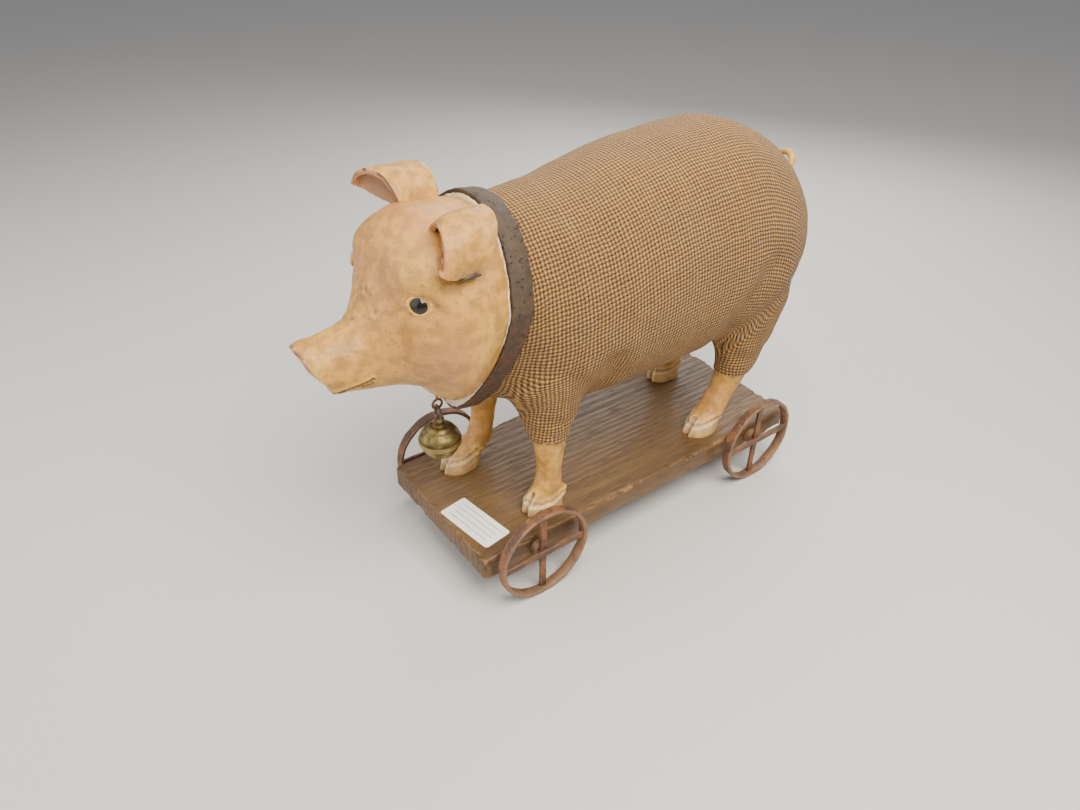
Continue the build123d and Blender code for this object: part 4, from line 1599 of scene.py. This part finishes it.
@dataclass
class Ear:
    """A leaf of clay that curls over outwards from its root on top of the head."""

    side: Side
    path: tuple[tuple[float, float], ...]
    rear: float = 85.5
    top_front: float = 106.5
    low_front: float = 114.0
    hug: float = 5.0
    wall_at: float = 0.90
    wall_drop: float = 1.0
    thickness: float = 2.4

    def place(self, u: float, v: float) -> Point:
        """The ear's surface: u from the rear to the front, v from the root over to the tip."""
        middle = abs(2 * u - 1.1)
        reach = v * (1.0 - 0.10 * middle ** 2.5)
        spots = [np.array(p) for p in self.path]
        while len(spots) > 1:
            spots = [a + (b - a) * reach for a, b in zip(spots[:-1], spots[1:])]
        y, z = spots[0]
        front = self.top_front + (
            self.low_front - self.top_front
        ) * max(0.0, 1.6 * v - 0.6) - 4.0 * (1 - v) ** 4
        rear = self.rear + 8.5 * max(0.0, 2 * v - 1) ** 2
        sink = 0.9 * (1 - u) ** 2 + self.hug * u ** 4 * (1 - v)
        return (rear + (front - rear) * u, self.side.value * y, z - sink)

    def build(self) -> Piece:
        """Bend the leaf, thicken it, round its lip and dress it."""
        piece = sheet_mesh(f"{self.side.word}_cast_ear", 56, 72, self.place)
        apply_modifier(piece, "SOLIDIFY", thickness=self.thickness * MM, offset=0.0)
        apply_modifier(piece, "BEVEL", width=0.7 * MM, segments=3, limit_method="ANGLE", angle_limit=0.7)
        settle(piece, 70.0)
        roughen(piece, 7.0, 0.5, 1.0 + self.side.value)
        roughen(piece, 2.4, 0.15, 6.0)
        paint_points(piece, self.painted)
        self.inside()
        return dress(piece, Finishes.PAINT, "painted_resin", "figure", f"{self.side.word}_ear")

    def inside(self) -> Piece:
        """The hollow of the ear: a sunk wall from the curl down to the straight line from root to tip,
        coloured pink-brown with painted shade that stands for the dark inside the curl.
        """

        def wall(u: float, v: float) -> Point:
            """The wall's surface: u from the chord to the curl, v from the root to the tip."""
            arc = np.array(self.place(self.wall_at, 0.04 + 0.93 * v))
            chord = np.array(
                self.place(self.wall_at, 0.04)
            ) * (1 - v) + np.array(self.place(self.wall_at, 0.97)) * v
            chord[2] -= self.wall_drop * math.sin(math.pi * v)
            at = chord + (arc - chord) * u
            at[0] -= 1.2 * math.sin(math.pi * u)
            return tuple(at)

        piece = sheet_mesh(f"{self.side.word}_ear_hollow", 16, 40, wall)
        apply_modifier(piece, "SOLIDIFY", thickness=1.4 * MM, offset=0.0)
        settle(piece, 70.0)
        roughen(piece, 2.0, 0.3, 3.0)
        # Pink-brown of the ear's inside, darkened as painted shade of the hollow.
        paint_points(
            piece, lambda at: np.column_stack([0.80 + 0 * at[:, 0], 0.45 + 0 * at[:, 0], 0 * at[:, 0]])
        )
        if self.side is Side.LEFT:
            self.slit()
        return dress(piece, Finishes.PAINT, "painted_resin", "figure")

    def slit(self) -> Piece:
        """A dark lens under the rear half of the folded edge: painted shade standing for the shadow in the
        gap between ear and head.
        """
        release()
        bpy.ops.mesh.primitive_uv_sphere_add(segments=40, ring_count=24, radius=MM)
        piece = named(f"{self.side.word}_ear_slit")
        y, z = self.path[-1]
        points = read_points(piece)
        points[:] = points * [4.6, 1.6, 1.25]
        points[:, 2] -= 0.05 * (points[:, 0] * 1000) ** 2 * MM
        write_points(piece, points)
        piece.location = metres(100.8, self.side.value * (y + 0.3), z - 0.6)
        settle(piece, 80.0)
        roughen(piece, 1.5, 0.2, 5.0)
        # Fully dark, as painted shade.
        paint_points(piece, lambda at: np.column_stack([1.0 + 0 * at[:, 0], 0 * at[:, 0], 0 * at[:, 0]]))
        return dress(piece, Finishes.PAINT, "painted_resin", "figure")

    def painted(self, at: np.ndarray) -> np.ndarray:
        """Pink inside and along the front edge, with painted shade deep inside the curl."""
        spots = np.linspace(0, 1, 30)
        outer = np.array([self.place(0.5, float(v))[1:] for v in spots])
        gaps = np.hypot(at[:, 1, None] - outer[None, :, 0], at[:, 2, None] - outer[None, :, 1])
        nearest = outer[gaps.argmin(1)]
        hub = np.array([self.side.value * 21.0, 178.0])
        inner = np.hypot(*(nearest - hub).T) - np.hypot(*(at[:, 1:] - hub).T)
        inside = np.clip((inner - 0.2) / 0.8, 0, 1)
        # The dark here is painted shade inside the curl; the pink is the ear's own colour.
        dark = 0.55 * inside
        pink = 0.8 * inside + 0.6 * np.exp(-(((at[:, 0] - self.low_front) / 3.0) ** 2))
        return np.column_stack([dark, pink, 0 * dark])


@dataclass
class Tail:
    """A short curl of clay on the rump."""

    start: Point = (-113.5, 0.0, 160.3)
    radius: float = 2.5

    def build(self) -> Piece:
        """Lay the curl and dress it."""
        x, y, z = self.start
        points, radii = [], []
        for i in range(15):
            t = i / 14
            turn = math.radians(-40 + 330 * t)
            side = 5.5 * math.sin(turn) + 3.0
            back = -1.0 - 4.6 * t - 2.4 * (1 - math.cos(turn)) * 0.6
            rise = 5.5 * (1 - math.cos(turn)) * 0.75
            points.append((x + 3.0 + back, y + side, z + rise))
            radii.append(self.radius * (1.0 - 0.45 * t))
        piece = settle(rope("cast_tail", points, radii), 80.0)
        roughen(piece, 3.0, 0.3, 7.0)
        return dress(piece, Finishes.PAINT, "painted_resin", "figure", "tail")


# ------------------------------------------------------------------ the collar and the bell


@dataclass
class Collar:
    """A worn strap round the neck seam, with small dark pits over it."""

    width: float = 10.0
    thickness: float = 2.2
    gap: float = 3.9

    def place(self, u: float, v: float) -> Point:
        """The strap's inner face: u round the neck, v across the strap."""
        turn = math.tau * u
        wave = noise.noise(Vector((3 * math.cos(turn), 3 * math.sin(turn), 0.0)))
        across = (v - 0.5) * self.width + 0.45 * wave
        crown = 0.5 * (1 - (2 * v - 1) ** 2)
        y = (NECK.across + self.gap + crown) * math.sin(turn)
        up = (NECK.tall + self.gap + crown) * math.cos(turn)
        slope = math.hypot(1.0, NECK.lean)
        ahead = Vector((1.0, 0.0, -NECK.lean)) / slope
        upward = Vector((NECK.lean, 0.0, 1.0)) / slope
        at = Vector((NECK.x, 0.0, NECK.z)) + ahead * across + upward * up
        return (at.x, y, at.z)

    def build(self) -> Piece:
        """Bend the strap, thicken it, round its edges and dress it."""
        piece = sheet_mesh("strap", 420, 16, self.place)
        only(piece)
        bpy.ops.object.mode_set(mode="EDIT")
        bpy.ops.mesh.select_all(action="SELECT")
        bpy.ops.mesh.remove_doubles(threshold=2e-5)
        bpy.ops.mesh.normals_make_consistent(inside=False)
        bpy.ops.object.mode_set(mode="OBJECT")
        apply_modifier(piece, "SOLIDIFY", thickness=self.thickness * MM, offset=1.0)
        apply_modifier(piece, "BEVEL", width=0.5 * MM, segments=3, limit_method="ANGLE", angle_limit=0.7)
        settle(piece, 60.0)
        roughen(piece, 4.0, 0.35, 2.0)
        roughen(piece, 1.2, 0.15, 6.0)
        pinch_throat(piece, 60.0, 60.0)
        self.rim()
        return dress(piece, Finishes.LEATHER, "worn_leather", "figure", "collar")

    def lip(self, u: float, v: float) -> Point:
        """The pale lip between the head and the strap: u round the neck, v from the head outward."""
        turn = math.tau * u
        spot = Vector((9 * math.cos(turn), 9 * math.sin(turn), 3.0))
        ragged = noise.noise(spot) + 0.7 * noise.noise(spot * 3.1)
        ahead_by = self.width / 2 + 1.0 - 0.7 * v + 0.55 * ragged
        out = 1.0 + (self.gap - 0.4) * v + 0.35 * noise.noise(spot * 1.7)
        slope = math.hypot(1.0, NECK.lean)
        ahead = Vector((1.0, 0.0, -NECK.lean)) / slope
        upward = Vector((NECK.lean, 0.0, 1.0)) / slope
        at = Vector((NECK.x, 0.0, NECK.z)) + ahead * ahead_by + upward * (NECK.tall + out) * math.cos(turn)
        return (at.x, (NECK.across + out) * math.sin(turn), at.z)

    def rim(self) -> Piece:
        """Build the ragged lip that closes the gap in front of the strap."""
        piece = sheet_mesh("neck_lip", 420, 6, self.lip)
        only(piece)
        bpy.ops.object.mode_set(mode="EDIT")
        bpy.ops.mesh.select_all(action="SELECT")
        bpy.ops.mesh.remove_doubles(threshold=2e-5)
        bpy.ops.mesh.normals_make_consistent(inside=False)
        bpy.ops.object.mode_set(mode="OBJECT")
        apply_modifier(piece, "SOLIDIFY", thickness=0.9 * MM, offset=0.0)
        apply_modifier(piece, "BEVEL", width=0.3 * MM, segments=2, limit_method="ANGLE", angle_limit=0.7)
        settle(piece, 60.0)
        roughen(piece, 1.6, 0.2, 4.0)
        pinch_throat(piece, 60.0, 60.0)
        paint_points(piece, lambda at: np.column_stack([0 * at[:, 0], 0 * at[:, 0], 0.6 + 0 * at[:, 0]]))
        return dress(piece, Finishes.PAINT, "painted_resin", "figure")


@dataclass
class Bell:
    """A round jingle bell in two shells with a flange between them, slotted underneath."""

    middle: Point = (99.8, 0.0, 73.66)
    radius: float = 9.5
    wall: float = 0.8

    def upper(self) -> Piece:
        """The top shell, stepped in rings up to a domed cap."""
        r = self.radius
        outer = [
            (0.0, r),
            (1.6, r - 0.1),
            (2.7, r - 0.6),
            (3.2, r - 1.2),
            (4.3, r - 1.3),
            (5.4, r - 2.0),
            (5.9, r - 2.8),
        ]
        outer += [
            (6.9, r - 3.1), (7.7, r - 4.0), (8.2, r - 4.9), (8.9, r - 5.6), (9.3, r - 6.6), (9.45, r - 7.6)
        ]
        outer += [(9.4, 1.4), (10.0, 1.2), (10.1, 0.9), (10.1, 0.3), (9.9, 0.06)]
        inner = [(r - self.wall, 0.06)]
        inner += [
            (
                (r - self.wall) * math.cos(a), (r - self.wall) * math.sin(a)
            ) for a in np.linspace(0.2, math.pi / 2, 12)
        ]
        piece = turned("upper_shell", outer + inner, self.middle, "Z")
        settle(piece, 45.0)
        return dress(piece, Finishes.BRASS, "aged_brass", "bell", "bell_upper_shell")

    def lower(self) -> Piece:
        """The bottom shell, with a slot that ends in two round holes."""
        r = self.radius
        outer = [(9.9, -0.06), (10.1, -0.3), (10.1, -0.9), (10.0, -1.2), (9.3, -1.5), (9.1, -2.4)]
        outer += [(r * math.cos(a), -r * math.sin(a)) for a in np.linspace(0.34, math.pi / 2, 14)]
        inner = [
            (
                (r - self.wall) * math.cos(a), -(r - self.wall) * math.sin(a)
            ) for a in np.linspace(math.pi / 2, 0.0, 14)
        ]
        inner[-1] = (r - self.wall, -0.06)
        piece = turned("lower_shell", outer + inner, self.middle, "Z")
        x, y, z = self.middle
        cutters = [block("slot", (x, y, z - r), (r * 1.24, 1.6, r * 1.24), 0.2)]
        for end in (-1, 1):
            release()
            place = metres(x + end * r * 0.62, y, z - r * 0.9)
            bpy.ops.mesh.primitive_cylinder_add(vertices=32, radius=1.5 * MM, depth=r * MM, location=place)
            cutters.append(named("hole"))
        for cutter in cutters:
            apply_modifier(piece, "BOOLEAN", operation="DIFFERENCE", object=cutter, solver="EXACT")
            bpy.data.objects.remove(cutter)
        settle(piece, 40.0)
        return dress(piece, Finishes.BRASS, "aged_brass", "bell", "bell_lower_shell")


# ------------------------------------------------------------------ the board and its wheels


SCREW_PLACES = ((60.0, 28.0), (69.0, -24.0), (-50.0, 28.0), (-69.0, -25.0))

@dataclass
class Board:
    """The old wooden board, its edges rounded and bitten by wear, with countersunk screws under it."""

    size: Point = (210.0, 86.0, 13.0)
    top: float = BOARD_TOP
    screws: tuple[tuple[float, float], ...] = SCREW_PLACES

    def build(self) -> Piece:
        """Remesh a block, wear its edges, cut its holes and dress it."""
        piece = block("plank", (0, 0, self.top - self.size[2] / 2), self.size, 0.7)
        apply_modifier(piece, "REMESH", mode="VOXEL", voxel_size=0.9 * MM)
        apply_modifier(piece, "SMOOTH", factor=0.5, iterations=3)
        self.wear(piece)
        self.drill(piece)
        settle(piece, 50.0)
        return dress(piece, Finishes.WOOD, "worn_wood", "figure", "board")

    def wear(self, piece: Piece) -> None:
        """Bite small pieces out of the edges and raise the grain a little."""
        points = read_points(piece)
        normals = read_normals(piece)
        board = to_board(points)
        half = np.array(self.size) / 2
        off = half - np.abs(board - [0, 0, self.top - self.size[2] / 2])
        two = np.sort(off, axis=1)[:, :2].sum(1)
        edge = np.exp(-((two / 2.2) ** 2))
        coarse = np.array([noise.noise(Vector((p[0] * 0.07, p[1] * 0.2, p[2] * 0.2))) for p in board])
        fine = np.array([noise.noise(Vector(p) * 0.5) for p in board])
        bite = np.clip(coarse + 0.35 * fine, 0, None) * 2.6 + 0.3
        grain = np.array([noise.noise(Vector((p[0] * 0.03, p[1] * 0.9, p[2] * 0.9))) for p in board])
        side = (np.abs(normals[:, 2]) < 0.5) * 0.28 + 0.10
        push = -edge * bite + grain * side - 0.05
        write_points(piece, points + normals * (push * MM)[:, None])

    def drill(self, piece: Piece) -> None:
        """Cut the axles' bores and the screws' countersunk holes."""
        cutters = []
        for end in (-75.0, 75.0):
            release()
            bpy.ops.mesh.primitive_cylinder_add(
                vertices=48, radius=2.06 * MM, depth=0.1, location=metres(end, 0, 25.0), rotation=(
                    math.pi / 2, 0, 0
                )
            )
            cutters.append(named("bore"))
        for x, y in self.screws:
            release()
            place = metres(x, y, 18.0 + 0.6)
            bpy.ops.mesh.primitive_cone_add(
                vertices=48, radius1=3.7 * MM, radius2=1.6 * MM, depth=2.6 * MM, location=place
            )
            cutters.append(named("countersink"))
        for cutter in cutters:
            apply_modifier(piece, "BOOLEAN", operation="DIFFERENCE", object=cutter, solver="EXACT")
            bpy.data.objects.remove(cutter)


@dataclass
class Screws:
    """The four countersunk screws, each with a straight slot."""

    places: tuple[tuple[float, float], ...] = SCREW_PLACES

    def build(self) -> Piece:
        """Turn each screw, cut its slot, join them and dress them."""
        made = []
        for x, y in self.places:
            profile = [(0.0, 0.15), (3.0, 0.15), (3.2, 0.35), (1.5, 1.9), (1.5, 19.0), (0.0, 20.0)]
            screw = turned("screw", profile, (x, y, 18.0), "Z", 40)
            slot = block("slot", (x, y, 18.3), (7.0, 1.0, 1.6), 0.05)
            apply_modifier(screw, "BOOLEAN", operation="DIFFERENCE", object=slot, solver="EXACT")
            bpy.data.objects.remove(slot)
            made.append(screw)
        piece = settle(join("screws", made), 35.0)
        return dress(piece, Finishes.STEEL, "screw_steel", "figure", "hoof_screws")


@dataclass
class Label:
    """The blank paper label on the board, with plain ruled lines on it."""

    middle: tuple[float, float] = (94.0, 17.8)
    size: tuple[float, float] = (15.5, 34.5)
    turn: float = 8.0
    top: float = BOARD_TOP

    def at(self, along: float, across: float, height: float) -> Point:
        """A point on the label, from its middle, in its own two directions."""
        a = math.radians(self.turn)
        x = self.middle[0] + across * math.cos(a) - along * math.sin(a)
        y = self.middle[1] + across * math.sin(a) + along * math.cos(a)
        return (x, y, self.top + height)

    def paper(self, u: float, v: float) -> Point:
        """The label's surface, with its corners rounded off and lifted a hair."""
        across, along = (u - 0.5) * self.size[0], (v - 0.5) * self.size[1]
        corner = 1.4
        over = max(0.0, abs(across) - self.size[0] / 2 + corner) / corner
        past = max(0.0, abs(along) - self.size[1] / 2 + corner) / corner
        round_in = max(0.0, math.hypot(over, past) - 1.0) * corner * 0.72
        across -= math.copysign(round_in, across)
        along -= math.copysign(round_in, along)
        lift = 0.10 + 0.22 * (abs(2 * u - 1) * abs(2 * v - 1)) ** 6
        return self.at(along, across, lift)

    def build(self) -> Piece:
        """Lay the paper and its lines, and dress it."""
        paper = sheet_mesh("sticker", 40, 80, self.paper)
        apply_modifier(paper, "SOLIDIFY", thickness=0.12 * MM, offset=1.0)
        settle(paper, 30.0)
        dress(paper, Finishes.LABEL, "label_paper", "figure", "label")
        strips = []
        for across in (-4.6, -1.6, 1.4, 4.4):
            def strip(u: float, v: float, across: float = across) -> Point:
                """One ruled line's surface."""
                return self.at((v - 0.5) * 27.0, across + (u - 0.5) * 0.45, 0.26)
            strips.append(sheet_mesh("rule", 1, 40, strip))
        rules = join("label_rules", strips)
        apply_modifier(rules, "SOLIDIFY", thickness=0.03 * MM, offset=1.0)
        settle(rules, 30.0)
        dress(rules, Finishes.INK, "label_paper", "figure")
        return paper


@dataclass
class Wheel:
    """A hoop of flat iron strip with two crossed flat spokes."""

    end: int
    side: Side
    diameter: float = 50.0
    rim: float = 2.0
    width: float = 5.0
    spoke: float = 3.5
    spoke_thickness: float = 1.6
    axle_x: float = 75.0
    axle_z: float = 25.0
    track: float = 48.7

    @property
    def body(self) -> str:
        """The CAD body that the wheel turns with."""
        return "front_wheels" if self.end > 0 else "rear_wheels"

    @property
    def prefix(self) -> str:
        """The start of the wheel's node names."""
        return f"{'front' if self.end > 0 else 'rear'}_{self.side.word}"

    def build(self) -> None:
        """Make the hoop and the two spokes."""
        x, y = self.end * self.axle_x, self.side.value * self.track
        outer, inner, half = self.diameter / 2, self.diameter / 2 - self.rim, self.width / 2
        profile = [
            (outer - 0.35, -half), (outer - 0.08, -half + 0.35), (outer, -half + 1.2), (outer, half - 1.2)
        ]
        profile += [
            (outer - 0.08, half - 0.35), (outer - 0.35, half), (inner + 0.35, half), (inner, half - 0.4)
        ]
        profile += [(inner, -half + 0.4), (inner + 0.35, -half)]
        hoop = turned(f"{self.prefix}_hoop", profile, (x, y, self.axle_z), "Y", 144)
        settle(hoop, 50.0)
        roughen(hoop, 5.0, 0.3, 3.0 + x)
        roughen(hoop, 1.5, 0.10, 7.0)
        dress(hoop, Finishes.IRON, "rusty_iron", self.body, f"{self.prefix}_rim")
        shift = self.side.value * self.spoke_thickness / 2
        length = 2 * inner + 0.8
        upright = block(
            f"{self.prefix}_upright",
            (x, y - shift, self.axle_z),
            (self.spoke, self.spoke_thickness, length),
            0.35,
            10,
        )
        level = block(
            f"{self.prefix}_level",
            (x, y + shift, self.axle_z),
            (length, self.spoke_thickness, self.spoke),
            0.35,
            10,
        )
        for spoke, word in ((upright, "upright_spoke"), (level, "level_spoke")):
            settle(spoke, 50.0)
            roughen(spoke, 4.0, 0.35, 1.0 + y)
            dress(spoke, Finishes.IRON, "rusty_iron", self.body, f"{self.prefix}_{word}")


# ------------------------------------------------------------------ the room


@dataclass
class Room:
    """A plain pale floor, soft studio lights and the camera."""

    eye: Point = (242.316, 267.486, 304.696)
    ahead: Point = (-0.49026, -0.65385, -0.57630)
    upward: Point = (-0.33762, -0.46712, 0.81720)
    lens: float = 27.03

    def floor(self) -> None:
        """Lay the floor."""
        release()
        bpy.ops.mesh.primitive_plane_add(size=6.0, location=(0, 0, 0))
        floor = named("floor")
        material = bpy.data.materials.new("pale_floor")
        material.use_nodes = True
        shader = material.node_tree.nodes["Principled BSDF"]
        shader.inputs["Base Color"].default_value = (0.60, 0.59, 0.57, 1.0)
        shader.inputs["Roughness"].default_value = 0.85
        floor.data.materials.append(material)

    def light(self, name: str, place: Point, size: float, power: float, colour: Colour) -> None:
        """Hang a square lamp that looks at the figure.

        Args:
            name: The lamp's name.
            place: Where it hangs, in the board's millimetres.
            size: Its side in metres.
            power: Its power in watts.
            colour: Its colour.
        """
        spot = metres(*place)
        aim = metres(10, 0, 100) - spot
        bpy.ops.object.light_add(
            type="AREA", location=spot, rotation=aim.to_track_quat("-Z", "Y").to_euler()
        )
        lamp = bpy.context.object
        lamp.name = name
        lamp.data.size = size
        lamp.data.energy = power
        lamp.data.color = colour

    def camera(self) -> None:
        """Set the camera up."""
        ahead, upward = Vector(self.ahead), Vector(self.upward)
        right = ahead.cross(upward).normalized()
        upward = right.cross(ahead).normalized()
        turn = Matrix((right, upward, -ahead)).transposed()
        bpy.ops.object.camera_add(location=metres(*self.eye), rotation=turn.to_euler())
        camera = bpy.context.object
        camera.data.lens = self.lens
        camera.data.sensor_width = 36.0
        camera.data.clip_start = 0.01
        camera.data.dof.use_dof = False
        bpy.context.scene.camera = camera

    def build(self) -> None:
        """Make the floor, the lamps, the pale surroundings and the camera."""
        self.floor()
        release()
        self.light("key", (60, 330, 620), 0.45, 9.0, (1.0, 0.93, 0.84))
        self.light("fill", (560, -160, 420), 0.9, 4.5, (1.0, 0.96, 0.91))
        self.light("back", (-380, -260, 460), 0.6, 4.0, (1.0, 0.95, 0.88))
        world = bpy.data.worlds.new("room")
        bpy.context.scene.world = world
        world.use_nodes = True
        sky = world.node_tree.nodes["Background"]
        sky.inputs["Color"].default_value = (0.95, 0.96, 1.0, 1.0)
        sky.inputs["Strength"].default_value = 0.35
        self.camera()


def dress_frame(nodes: dict[str, Piece]) -> None:
    """Give every CAD node that stays a finish that suits it.

    Args:
        nodes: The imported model's nodes by name.
    """
    for name, part in nodes.items():
        if name in ("throat_eye", "bell_link", "bell_loop"):
            finish = Finishes.WIRE
        elif name == "bell_pellet":
            finish = Finishes.STEEL
        else:
            finish = Finishes.IRON
        part.data.materials.clear()
        part.data.materials.append(finish.make())


def main() -> None:
    """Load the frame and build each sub-assembly in order."""
    logging.basicConfig(level=logging.INFO, format="%(name)s: %(message)s")
    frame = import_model()
    Bench.set_up()
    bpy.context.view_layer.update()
    dress_frame(frame["nodes"])
    Room().build()
    Casting().build()
    Jacket().build()
    for shape in LEGS:
        Leg(shape).build()
    Head().build()
    for side in Side:
        Eye(side).build()
    Ear(Side.LEFT, ((13, 181), (14, 191), (23, 195.5), (36, 191), (38, 181), (35.5, 172.5))).build()
    Ear(
        Side.RIGHT,
        ((12, 181), (11, 192), (20, 198.5), (34, 196), (38.0, 190), (36, 185)),
        low_front=111.5,
        hug=0.0,
        wall_at=0.93,
    ).build()
    Tail().build()
    Collar().build()
    bell = Bell()
    bell.upper()
    bell.lower()
    Board().build()
    Screws().build()
    Label().build()
    for end in (1, -1):
        for side in Side:
            Wheel(end, side).build()
    release()
    bpy.context.view_layer.update()


if __name__ == "__main__":
    main()
